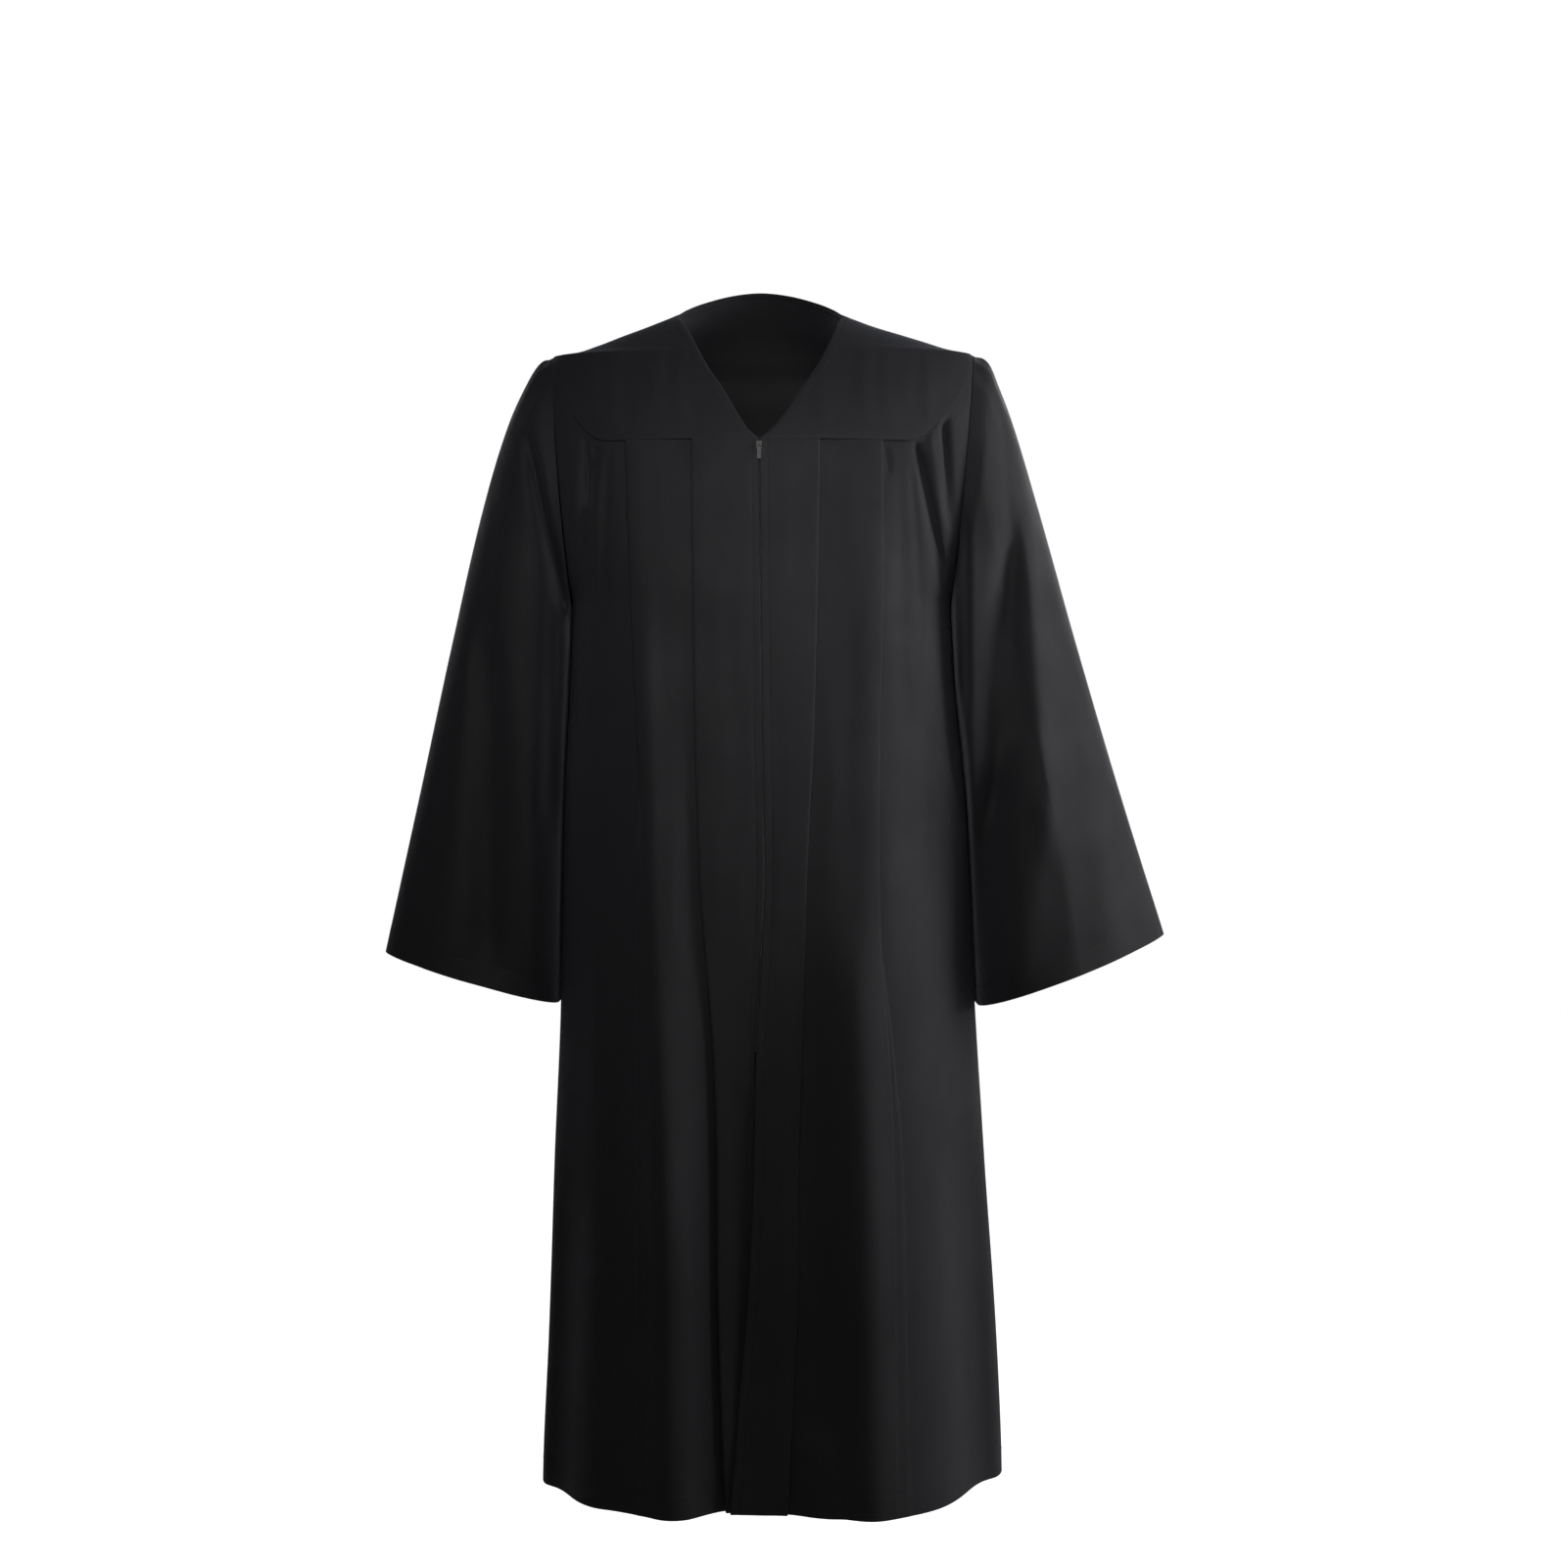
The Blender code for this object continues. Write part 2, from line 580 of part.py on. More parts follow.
def wall_offsets(grid, closed):
    """For each point of a grid, the way out of the cloth's surface."""
    count, rows = len(grid), len(grid[0])
    result = []
    for i in range(count):
        column = []
        for j in range(rows):
            here = grid[i][j]
            left = grid[i - 1][j] if i > 0 or closed else None
            right = grid[(i + 1) % count][j] if i < count - 1 or closed else None
            before = (here - left if left is not None else right - here).normalized()
            after = (right - here if right is not None else here - left).normalized()
            up, low = grid[i][max(j - 1, 0)], grid[i][min(j + 1, rows - 1)]
            down = Vector((0, 0, 0))
            for step in (here - up, low - here):
                if step.length > 1e-9:
                    down += step.normalized()
            column.append(mitre(before, after, down.normalized()))
        result.append(column)
    return result


def trim(grid, closed):
    """Pull the free edges of a grid in, so that it stops just short of its neighbours."""
    trimmed = [[point.copy() for point in column] for column in grid]
    rows, count = len(grid[0]), len(grid)
    for i in range(count):
        for edge, inside in ((0, 1), (rows - 1, rows - 2)):
            step = (grid[i][inside] - grid[i][edge]).normalized() * TRIM
            trimmed[i][edge] += step
    if not closed:
        for j in range(rows):
            for edge, inside in ((0, 1), (count - 1, count - 2)):
                step = (grid[inside][j] - grid[edge][j]).normalized() * TRIM
                trimmed[edge][j] += step
    return trimmed


def cloth_object(name, grid, colour, closed=False, ways=()):
    """A closed solid, one cloth wall thick, round the surface that the grid describes.

    Ways are the places, as column and row, whose way out of the cloth is given.
    """
    offsets = wall_offsets(grid, closed)
    for (i, j), way in dict(ways).items():
        offsets[i][j] = way
    grid = trim(grid, closed)
    count, rows = len(grid), len(grid[0])
    mesh = bmesh.new()
    face, lining = [[[mesh.verts.new(grid[i][j] + offsets[i][j] * CLOTH * way)
                      for j in range(rows)] for i in range(count)] for way in (0.5, -0.5)]
    end = rows - 1
    for i in range(count if closed else count - 1):
        k = (i + 1) % count
        for j in range(end):
            mesh.faces.new((face[i][j], face[i][j + 1], face[k][j + 1], face[k][j]))
            mesh.faces.new((lining[i][j], lining[k][j], lining[k][j + 1], lining[i][j + 1]))
        mesh.faces.new((face[i][0], face[k][0], lining[k][0], lining[i][0]))
        mesh.faces.new((face[k][end], face[i][end], lining[i][end], lining[k][end]))
    if not closed:
        for j in range(end):
            mesh.faces.new((face[0][j + 1], face[0][j], lining[0][j], lining[0][j + 1]))
            mesh.faces.new((face[-1][j], face[-1][j + 1], lining[-1][j + 1], lining[-1][j]))
    bmesh.ops.triangulate(mesh, faces=mesh.faces)
    if mesh.calc_volume(signed=True) < 0:
        bmesh.ops.reverse_faces(mesh, faces=mesh.faces)
    return add_object(name, mesh, colour, roughness=0.85, metallic=0.0, smooth=True)


def add_object(name, mesh, colour, roughness, metallic, smooth=False):
    data = bpy.data.meshes.new(name)
    mesh.to_mesh(data)
    mesh.free()
    if smooth:
        data.shade_smooth()
        data.set_sharp_from_angle(angle=math.radians(40.0))
    thing = bpy.data.objects.new(name, data)
    bpy.context.collection.objects.link(thing)
    material = bpy.data.materials.new(name)
    material.use_nodes = True
    shader = material.node_tree.nodes["Principled BSDF"]
    shader.inputs["Base Color"].default_value = (*colour, 1.0)
    shader.inputs["Roughness"].default_value = roughness
    shader.inputs["Metallic"].default_value = metallic
    data.materials.append(material)
    return thing


# Zip

def zip_line(height):
    """Middle of the zip at a height: how far right, and the depth of the cloth there."""
    left = -FRONT_PLEATS["left"]("edge", height)
    right = FRONT_PLEATS["right"]("edge", height)
    x = (left + right) / 2
    back = max(FRONT_PLEATS[side]("edge_back", height) for side in SIDES)
    return x, surface_y("front", "right", abs(x), height, back)


def add_zip_tape(colour):
    """Tape behind the meeting edges of the fronts, with the chain standing between them."""
    step_back = CLOTH / 2 + ZIP_CLEARANCE
    half, chain = ZIP_TAPE / 2, ZIP_CHAIN / 2
    deep = step_back + ZIP_TAPE_WALL
    outline = ((-half, step_back), (-chain, step_back), (-chain, -CLOTH / 2),
               (chain, -CLOTH / 2), (chain, step_back), (half, step_back),
               (half, deep), (chain, deep), (-chain, deep), (-half, deep))
    mesh = bmesh.new()
    rings = []
    heights = [height for height in panel_heights(YOKE_SEAM, (ROWS_TO_UNDERARM, ROWS_TO_HEM))
               if height > ZIP_END - MM]
    for height in heights:
        x, y = zip_line(height)
        rings.append([mesh.verts.new((x + right, y + back, height)) for right, back in outline])
    sides = len(outline)
    for ring, below in zip(rings, rings[1:]):
        for i in range(sides):
            k = (i + 1) % sides
            mesh.faces.new((ring[i], ring[k], below[k], below[i]))
    for ring in (rings[0], rings[-1]):
        for corners in ((0, 1, 8, 9), (1, 2, 3, 4), (1, 4, 7, 8), (4, 5, 6, 7)):
            mesh.faces.new([ring[i] for i in corners])
    bmesh.ops.triangulate(mesh, faces=mesh.faces)
    bmesh.ops.recalc_face_normals(mesh, faces=mesh.faces)
    return add_object("zip_tape", mesh, colour, roughness=0.8, metallic=0.0)


def add_box(mesh, low, high):
    size = high - low
    place = Matrix.Translation((low + high) / 2) @ Matrix.Diagonal((*size, 1.0))
    bmesh.ops.create_cube(mesh, size=1.0, matrix=place)


def add_round_bar(mesh, radius, length, sides=12):
    """A round bar along X, centred on the origin."""
    turn = Matrix.Rotation(math.pi / 2, 4, "Y")
    bmesh.ops.create_cone(mesh, cap_ends=True, segments=sides, radius1=radius, radius2=radius,
                          depth=length, matrix=turn)


def union(name, builders, colour, cuts=()):
    """One solid from simple ones, joined, less the cuts, with every step applied."""
    pieces = []
    for builder in (*builders, *cuts):
        mesh = bmesh.new()
        builder(mesh)
        bmesh.ops.recalc_face_normals(mesh, faces=mesh.faces)
        pieces.append(add_object(name + "_step", mesh, colour, roughness=0.35, metallic=1.0))
    base = pieces[0]
    for index, piece in enumerate(pieces[1:], start=1):
        step = base.modifiers.new("join", "BOOLEAN")
        step.operation = "UNION" if index < len(builders) else "DIFFERENCE"
        step.object = piece
    graph = bpy.context.evaluated_depsgraph_get()
    data = bpy.data.meshes.new_from_object(base.evaluated_get(graph))
    mesh = bmesh.new()
    mesh.from_mesh(data)
    bmesh.ops.triangulate(mesh, faces=mesh.faces)
    for piece in pieces:
        bpy.data.objects.remove(piece)
    return add_object(name, mesh, colour, roughness=0.35, metallic=1.0)


def add_slider_and_pull(colour):
    """Slider on the chain, with two lugs and a pin, and the tab that swings on the pin."""
    width, wall, height = SLIDER_SIZE
    pin_height = SLIDER_TOP - height * 0.62
    x, y = zip_line(pin_height)
    y_low = zip_line(pin_height - PULL_LENGTH)[1]
    lean = math.atan2(y - y_low, PULL_LENGTH)
    plate_front = y - CLOTH / 2 - 2 * TRIM - wall
    stand_off = PULL_EYE_RADIUS + PULL_CLEARANCE
    pivot = Vector((x, plate_front - stand_off, pin_height))
    lug_gap = PULL_EYE_WIDTH / 2 + PULL_CLEARANCE
    lug_half = PULL_EYE_RADIUS * 0.7

    def plate(mesh):
        add_box(mesh, Vector((-width / 2, stand_off, -height * 0.38)),
                Vector((width / 2, stand_off + wall, height * 0.62)))

    def lug(way):
        def build(mesh):
            inner, outer = sorted((way * lug_gap, way * (lug_gap + LUG_WALL)))
            add_box(mesh, Vector((inner, -lug_half, -lug_half)),
                    Vector((outer, stand_off + wall / 2, lug_half)))
        return build

    def pin(mesh):
        add_round_bar(mesh, PIN_RADIUS, 2 * lug_gap + LUG_WALL)

    def eye(mesh):
        add_round_bar(mesh, PULL_EYE_RADIUS, PULL_EYE_WIDTH, sides=16)

    def stem(mesh):
        half = PULL_EYE_WIDTH * 0.45
        add_box(mesh, Vector((-half, -PULL_WALL / 2, -PULL_SHOULDER - 0.6 * MM)),
                Vector((half, PULL_WALL / 2, -PULL_EYE_RADIUS * 0.8)))

    def tab(mesh):
        add_box(mesh, Vector((-PULL_WIDTH / 2, -PULL_WALL / 2, -PULL_LENGTH)),
                Vector((PULL_WIDTH / 2, PULL_WALL / 2, -PULL_SHOULDER)))

    def hole(mesh):
        add_round_bar(mesh, PIN_RADIUS + PULL_CLEARANCE, PULL_EYE_WIDTH * 2)

    slider = union("zip_slider", (plate, lug(-1), lug(1), pin), colour)
    slider.location = pivot
    slider.rotation_euler = (-lean, 0, 0)
    pull = union("zip_pull", (eye, stem, tab), colour, cuts=(hole,))
    pull.location = pivot
    pull.rotation_euler = (-lean, 0, 0)


def build_gown():
    for thing in list(bpy.data.objects):
        bpy.data.objects.remove(thing)
    black = (0.012, 0.012, 0.014)
    upright = Vector((0, 0, 1))
    for side in SIDES:
        corner = surface_way("front", side, *armhole(side, YOKE_SEAM + SEAM_RISE, 0.0)[:1],
                             YOKE_SEAM + SEAM_RISE)
        grid = front_yoke_grid(side)
        ways = {(i, 0): upright for i in range(len(grid))}
        ways[len(grid) - 1, len(grid[0]) - 1] = corner
        cloth_object("yoke_front_" + side, grid, black, ways=ways)
        grid = front_grid(side)
        cloth_object("front_" + side, grid, black, ways={(len(grid) - 1, 0): corner})
        cloth_object("sleeve_" + side, sleeve_grid(side), black, closed=True)
    grid = back_yoke_grid()
    ways = {(i, 0): upright for i, column in enumerate(grid) if abs(column[0].x) >= NECK_HALF}
    cloth_object("yoke_back", grid, black, ways=ways)
    cloth_object("back", back_grid(), black)
    add_zip_tape((0.010, 0.010, 0.011))
    add_slider_and_pull((0.62, 0.62, 0.64))


build_gown()
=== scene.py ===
"""Looks of the graduation gown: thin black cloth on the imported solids, seams, sewing and zip.

Metres, +Z up, the front faces -Y. The gown's surfaces are worked out as those of its solids
are, on a finer mesh and with more folds. "Out" is the distance from the centre line towards one
side, and "back" the distance that a fold lies behind the gown's plain surface.
"""
import math

import bpy
import numpy as np
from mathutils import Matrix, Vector


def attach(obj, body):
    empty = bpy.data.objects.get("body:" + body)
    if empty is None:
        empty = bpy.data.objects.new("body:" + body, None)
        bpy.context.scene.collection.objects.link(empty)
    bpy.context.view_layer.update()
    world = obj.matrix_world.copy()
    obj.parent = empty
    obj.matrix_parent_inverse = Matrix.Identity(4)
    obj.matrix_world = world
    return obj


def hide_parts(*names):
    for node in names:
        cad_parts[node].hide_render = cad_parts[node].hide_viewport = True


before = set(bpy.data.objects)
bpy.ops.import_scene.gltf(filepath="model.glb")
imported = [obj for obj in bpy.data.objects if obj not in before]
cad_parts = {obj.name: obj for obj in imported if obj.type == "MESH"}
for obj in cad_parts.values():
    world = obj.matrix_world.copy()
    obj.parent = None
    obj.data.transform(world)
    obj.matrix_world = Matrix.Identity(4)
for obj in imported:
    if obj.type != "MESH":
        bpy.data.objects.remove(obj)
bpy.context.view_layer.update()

MM = 0.001

# The gown's sizes
HEM = -1261.5 * MM        # height of the lower edge
YOKE_SEAM = -143.0 * MM   # height of the straight part of the front yoke seam
BACK_SEAM = -165.0 * MM   # height of the back yoke seam
NECK_HALF = 90.0 * MM     # half the width of the neck at the shoulder seams
NECK_HEIGHT = 7.5 * MM    # height of the neck edge at the shoulder seams
NAPE_RISE = 40.0 * MM     # the back of the neck above that
NAPE_ROUND = 0.65         # power of that rise
NAPE_BACK = 80.0 * MM     # the back of the neck behind the shoulder seams
NAPE_BLEND = 127.0 * MM   # height over which the back takes up its own depth
NAPE_SPREAD = 60.0 * MM   # depth below the neck edge at which that bulge is widest and softest
NAPE_WIDENING = 0.8       # how much wider it is there, as a share of the neck's half width
SQUARENESS = 2.35         # 2 is an ellipse, more is a squarer section
SIDES = {"left": -1.0, "right": 1.0}


class Table:
    """Rows of millimetres with named columns, read as smooth curves of the first column."""

    def __init__(self, names, *rows):
        rows = np.array(sorted(rows), float) * MM
        self.keys = rows[:, 0]
        self.columns = dict(zip(names.split(), rows.T))

    def __call__(self, name, key):
        keys, values = self.keys, self.columns[name]
        gaps = np.diff(keys)
        steep = np.diff(values) / gaps
        product, total = steep[:-1] * steep[1:], steep[:-1] + steep[1:]
        middle = np.where(product > 0, 2 * product / np.where(total == 0, 1, total), 0.0)
        slope = np.concatenate((steep[:1], middle, steep[-1:]))
        key = np.clip(key, keys[0], keys[-1])
        i = np.clip(np.searchsorted(keys, key, side="right") - 1, 0, len(keys) - 2)
        t = (key - keys[i]) / gaps[i]
        return ((2 * t**3 - 3 * t**2 + 1) * values[i] + (t**3 - 2 * t**2 + t) * slope[i] * gaps[i]
                + (3 * t**2 - 2 * t**3) * values[i + 1] + (t**3 - t**2) * slope[i + 1] * gaps[i])


# Sections by height: half widths, how far back the right side seam lies and how far forward
# the left one, and the depths of the front and back.
BODY = Table(
    "height left right side front back",
    (47.5, 204, 208, 0, 0, 0),
    (30, 204, 208, 0, 0, 15),
    (7.5, 204, 208, 0, 0, 43),
    (0, 204, 208, 0, 18, 54),
    (-22, 204, 208, 0, 43, 84),
    (-50, 204, 208, 0, 66, 117),
    (-87, 204, 208, 0, 88, 135),
    (-143, 204, 208, 0, 110, 148),
    (-200, 204, 208, 0, 122, 154),
    (-280, 204, 207.5, 0, 133, 157),
    (-310, 204.2, 207.8, 0, 137, 157),
    (-410, 207.5, 213, 0, 143, 156),
    (-520, 213, 224, 0, 148, 156),
    (-754, 217.4, 235.6, 4, 155, 158),
    (-915, 223.8, 246, 7, 158, 160),
    (-1108, 230, 259.5, 12, 162, 163),
    (-1237, 235.2, 265.6, 17, 166, 166),
    (-1261.5, 235.6, 266.2, 18, 166.5, 167),
)
# Shoulder line, from the neck (0) to the armhole (1000), and how far out it ends.
SHOULDER = Table("along left right", (0, 7.5, 7.5), (250, -7, -6.6), (450, -17.5, -15.5),
                 (650, -28.5, -24.5), (850, -37.5, -33.5), (1000, -40.5, -37.5))
SHOULDER_END = {"left": 226.7 * MM, "right": 232.2 * MM}
UNDERARM = -310.0 * MM
ZIP_END = (UNDERARM + HEM) / 2  # below it the fronts lap
ARMHOLE_FRONT = 62.0 * MM
ARMHOLE_BACK = 66.0 * MM
# The V of the neck, from the shoulder seam down to the zip.
V_FOOT = 1.4 * MM         # half its width there
NECK_V = Table("height left right", (7.5, 90, 90), (-22, 75, 80), (-61, 56, 62), (-87, 39.5, 45),
               (-113, 25, 29), (-135, 11, 12), (-143, 1.4, 1.4))
# The front yoke seam is straight as far out as "bend", then sweeps up to the armhole.
SEAM_BEND = {"left": 163.0 * MM, "right": 155.0 * MM}
SEAM_RISE = 81.0 * MM
SEAM_POWER = 1.8

# Pleats of half a panel by height: its edge at the centre line, the inner and outer folded
# edges, how far back the first two lie, and the lap and layer of each pleat. With a lap below
# zero the pleat is open. "Swell" is how far the panel between the pleats stands out.
PLEAT_COLUMNS = ("height edge inner outer edge_back inner_back inner_lap inner_layer "
                 "outer_lap outer_layer swell")
FRONT_PLEATS = {
    "left": Table(
        PLEAT_COLUMNS,
        (-143, 1.2, 70, 140.5, 0, 0, 12, 1.9, 12, 1.9, 0),
        (-300, -0.6, 68, 134, 0, 0, 12, 1.9, 9, 1.9, 1.5),
        (-446, -2.3, 65.5, 126, 1, 0.5, 11, 2.0, 4, 1.7, 4),
        (-598, -4.4, 60.4, 121, 4, 2, 10, 2.3, -6, 1.0, 6),
        (-800, 4.7, 45, 117, 10, 5, 8, 3.0, -12, 0.8, 8),
        (-900, 4.2, 41.8, 115, 19, 10, 7, 3.6, -14, 0.8, 9),
        (-1020, 2, 41, 114, 27, 15, 7, 4.0, -16, 0.8, 9),
        (-1168, 0, 36.7, 112, 30, 18, 6, 4.2, -18, 0.8, 7),
        (-1261.5, -2, 32, 110, 28, 21, 6, 4.2, -20, 0.8, 6),
    ),
    "right": Table(
        PLEAT_COLUMNS,
        (-143, 1.2, 62.8, 129.8, 0, 0, 12, 1.9, 12, 1.9, 0),
        (-300, 3.0, 60, 130, 0, 0, 12, 1.9, 12, 1.9, 1.5),
        (-446, 4.7, 56.2, 125.5, 1, 0.5, 11, 1.9, 10, 1.9, 3),
        (-598, 6.8, 49.1, 124.5, 4, 2, 9, 2.0, 5, 1.6, 4.5),
        (-800, -2.3, 44, 134, 8, 4, 8, 2.3, -8, 0.9, 7),
        (-900, -4.0, 40.5, 137, 12, 7, 7, 2.6, -14, 0.8, 8),
        (-1020, -9, 39.9, 138, 16, 9, 6, 2.6, -16, 0.8, 8),
        (-1168, -21, 33, 139, 17, 11, 6, 2.6, -18, 0.8, 7),
        (-1261.5, -28.5, 28.8, 140, 13, 11, 6, 2.6, -20, 0.8, 6),
    ),
}
BACK_PLEATS = Table(
    PLEAT_COLUMNS,
    (-165, 0, 62, 126, 0, 0, 12, 1.9, 12, 1.9, 0),
    (-400, 0, 63, 130, 0, 0, 12, 1.9, 10, 1.9, 3),
    (-700, 0, 66, 138, 3, 2, 10, 2.4, 5, 1.6, 6),
    (-900, 0, 68, 142, 5, 4, 8, 3.0, -8, 0.9, 8),
    (-1261.5, 0, 72, 150, 8, 6, 7, 3.6, -18, 0.8, 9),
)
FOOT = 2.0 * MM           # the cloth lies flat this far past a pleat before it swells

# Soft folds of the body: troughs that run down from one place to another on one face. With a
# depth below zero they are ridges. The columns are
# face side top_out top_height low_out low_height width depth
BODY_FOLDS = (
    ("front", "right", 168, -146, 196, -290, 5.5, 9),
    ("front", "right", 196, -95, 206, -225, 5, 5),
    ("front", "right", 124, -240, 130, -660, 26, -6),
    ("front", "right", 98, -640, 118, -1300, 32, -16),
    ("front", "right", 150, -640, 162, -1300, 42, -15),
    ("front", "right", 60, -720, 66, -1120, 22, 8),
    ("front", "right", 62, -1180, 64, -1300, 26, -8),
    ("front", "right", 212, -600, 236, -1300, 28, 16),
    ("front", "right", 226, -900, 244, -1300, 26, 24),
    ("front", "left", 172, -140, 186, -215, 6, 5),
    ("front", "left", 124, -330, 98, -980, 26, -11),
    ("front", "left", 100, -760, 82, -1300, 38, -16),
    ("front", "left", 196, -640, 214, -1300, 26, 16),
    ("front", "left", 208, -950, 220, -1300, 22, 20),
    ("back", "left", 165, -175, 188, -290, 8, 6),
    ("back", "left", 190, -520, 212, -1300, 26, 14),
    ("back", "left", 110, -700, 118, -1300, 40, -8),
    ("back", "right", 168, -175, 192, -285, 8, 6),
    ("back", "right", 196, -480, 226, -1300, 28, 14),
    ("back", "right", 122, -650, 132, -1300, 40, -9),
)
# Smaller folds, which only the thin cloth has
FINE_FOLDS = (
    ("front", "right", 166, -143, 197, -272, 2.6, 7),
    ("front", "right", 134, -149, 137, -178, 4, 2.2),
    ("front", "right", 182, -128, 199, -240, 5, -4),
    ("front", "right", 196, -118, 200, -214, 3.5, 6),
    ("front", "left", 184, -144, 180, -214, 3.5, 4),
    ("front", "right", 160, -150, 172, -330, 5, 1.6),
    ("front", "right", 184, -128, 199, -250, 4, 1.8),
    ("front", "right", 148, -160, 152, -420, 7, 0.9),
    ("front", "right", 96, -300, 92, -760, 9, 1.0),
    ("front", "right", 176, -420, 186, -900, 14, 1.6),
    ("front", "right", 84, -820, 90, -1300, 10, 1.2),
    ("front", "left", 160, -150, 166, -300, 5, 1.2),
    ("front", "left", 183, -128, 193, -250, 4, 1.4),
    ("front", "left", 104, -260, 98, -700, 9, 1.1),
    ("front", "left", 158, -400, 160, -820, 12, 1.4),
    ("front", "left", 150, -830, 152, -1300, 12, 1.6),
    ("front", "left", 74, -760, 70, -1300, 9, -1.5),
    ("back", "left", 30, -240, 28, -900, 9, 1.0),
    ("back", "right", 34, -300, 30, -1100, 10, 1.2),
    ("back", "left", 96, -300, 102, -1000, 12, 1.6),
    ("back", "right", 98, -260, 100, -960, 12, 1.3),
    ("back", "left", 150, -180, 162, -420, 6, 1.6),
    ("back", "right", 152, -180, 166, -440, 6, 1.8),
    ("back", "left", 168, -500, 172, -1300, 13, 2.4),
    ("back", "right", 170, -620, 184, -1300, 14, 2.6),
)
FOLD_START = 12.0 * MM    # below the seam above them, over which the folds take up their depth
FOLD_PAST = 0.15          # share of its length that a fold runs past its two ends
FOLD_OPENS = 0.35         # shares over which it takes up its depth and loses it
FOLD_CLOSES = 0.25
RIPPLES = ((61, 310), (37, 420), (97, 170), (23, 260))  # mm from wave to wave, across and down
RIPPLE_HEIGHT = 0.11 * MM

# Sleeves, from the armhole (0) to the cuff (1000): the line over the arm, the line under it,
# how far the front and back stand off the plane between them, and how square the section is.
SLEEVE_COLUMNS = ("along outer outer_height inner inner_height front back "
                  "outer_square front_square back_square")
SLEEVES = {
    "left": Table(
        SLEEVE_COLUMNS,
        (0, 227.3, -40.5, 206.3, -310, 62, 66, 2000, 2000, 2000),
        (30, 243, -52, 207.2, -322, 65, 69, 2000, 2050, 2600),
        (70, 256.5, -73, 207.8, -336, 68, 72, 1950, 2100, 4500),
        (130, 274, -110, 208.2, -357, 71, 76, 1850, 2200, 6000),
        (250, 301, -197, 209.9, -402, 74, 82, 1750, 2400, 6500),
        (450, 336.5, -350, 213.7, -480, 76, 88, 1700, 2600, 6500),
        (700, 372, -515, 217.0, -590, 74, 94, 1700, 2500, 6500),
        (1000, 410.3, -690, 220.3, -745, 70, 98, 1700, 2300, 5000),
    ),
    "right": Table(
        SLEEVE_COLUMNS,
        (0, 232.8, -37.5, 208.8, -310, 62, 66, 2000, 2000, 2000),
        (30, 250.3, -49.5, 209.1, -322, 66, 69, 2000, 2300, 3200),
        (70, 260.8, -72, 209.8, -336, 70, 72, 1900, 3000, 5000),
        (130, 276.2, -111, 211.0, -357, 71, 76, 1750, 4500, 6000),
        (250, 302.5, -197, 213.6, -402, 72, 81, 1550, 8000, 6500),
        (450, 345.5, -350, 222.2, -480, 76, 86, 1450, 9000, 7000),
        (700, 394, -515, 230.5, -590, 82, 90, 1450, 2800, 6500),
        (1000, 442.7, -670.9, 238.3, -748, 90, 92, 1450, 2300, 5000),
    ),
}
SLEEVE_LENGTH = 0.47
GATHERS = 5               # soft folds of the gathered head, on each sleeve
GATHER_SPREAD = math.radians(62.0)
GATHER_HEIGHT = 3.0 * MM
GATHER_REACH = 0.10       # share of the sleeve's length over which they die away
# Finer gathers: waves around the sleeve, their unevenness, reach and share of the height
FINE_GATHERS = ((27, 2.0, 5, 0.045, 0.3), (41, 1.3, 9, 0.03, 0.2))
HEAD_SHARE = 0.52         # of the columns around a sleeve, those in the gathered head
# The columns are face top_out top_height low_out low_height width depth
SLEEVE_FOLDS = {
    "left": (
        ("front", 291, -330, 292, -700, 20, 18),
        ("front", 222, -250, 224, -540, 11, 18),
        ("front", 247, -145, 211, -325, 7, 19),
        ("front", 246, -420, 240, -700, 16, -8),
        ("front", 240, -180, 246, -520, 7, 2),
        ("front", 338, -420, 372, -720, 12, 2),
        ("front", 286, -150, 292, -330, 7, 1.5),
        ("back", 268, -300, 300, -700, 26, 13),
        ("back", 322, -360, 352, -700, 16, 6),
        ("back", 244, -200, 250, -560, 8, 2.5),
    ),
    "right": (
        ("front", 222, -210, 226, -540, 9, -4),
        ("front", 216, -230, 218, -420, 6, 12),
        ("front", 272, -230, 252, -540, 15, 18),
        ("front", 250, -500, 230, -700, 16, 14),
        ("front", 286, -200, 306, -560, 14, -10),
        ("front", 304, -470, 270, -720, 26, -9),
        ("front", 330, -330, 352, -720, 15, 2.5),
        ("front", 366, -420, 404, -700, 12, 1.8),
        ("front", 262, -110, 268, -230, 6, 1.8),
        ("back", 275, -260, 305, -700, 26, 13),
        ("back", 330, -330, 372, -690, 16, 6),
        ("back", 248, -180, 256, -560, 8, 2.5),
    ),
}


def blend(a, b, t):
    return a + (b - a) * t


def ease(t):
    t = np.clip(t, 0.0, 1.0)
    return t * t * (3 - 2 * t)


# The gown's own surface, on arrays of places

def top_height(side, out):
    """Height of the neck edge behind the neck, and of the shoulder line outside it."""
    bow = np.cos(np.clip(out / NECK_HALF, 0, 1) * math.pi / 2)
    nape = NECK_HEIGHT + NAPE_RISE * np.maximum(bow, 0.0) ** NAPE_ROUND
    along = (out - NECK_HALF) / (SHOULDER_END[side] - NECK_HALF)
    return np.where(out < NECK_HALF, nape, SHOULDER(side, along * 1000 * MM))


def top_half_width(side, height):
    """How far out the shoulder line or the neck edge is at a height, by halving."""
    low, high = np.zeros_like(height), np.full_like(height, SHOULDER_END[side])
    for _ in range(30):
        middle = (low + high) / 2
        above = top_height(side, middle) > height
        low, high = np.where(above, middle, low), np.where(above, high, middle)
    return (low + high) / 2


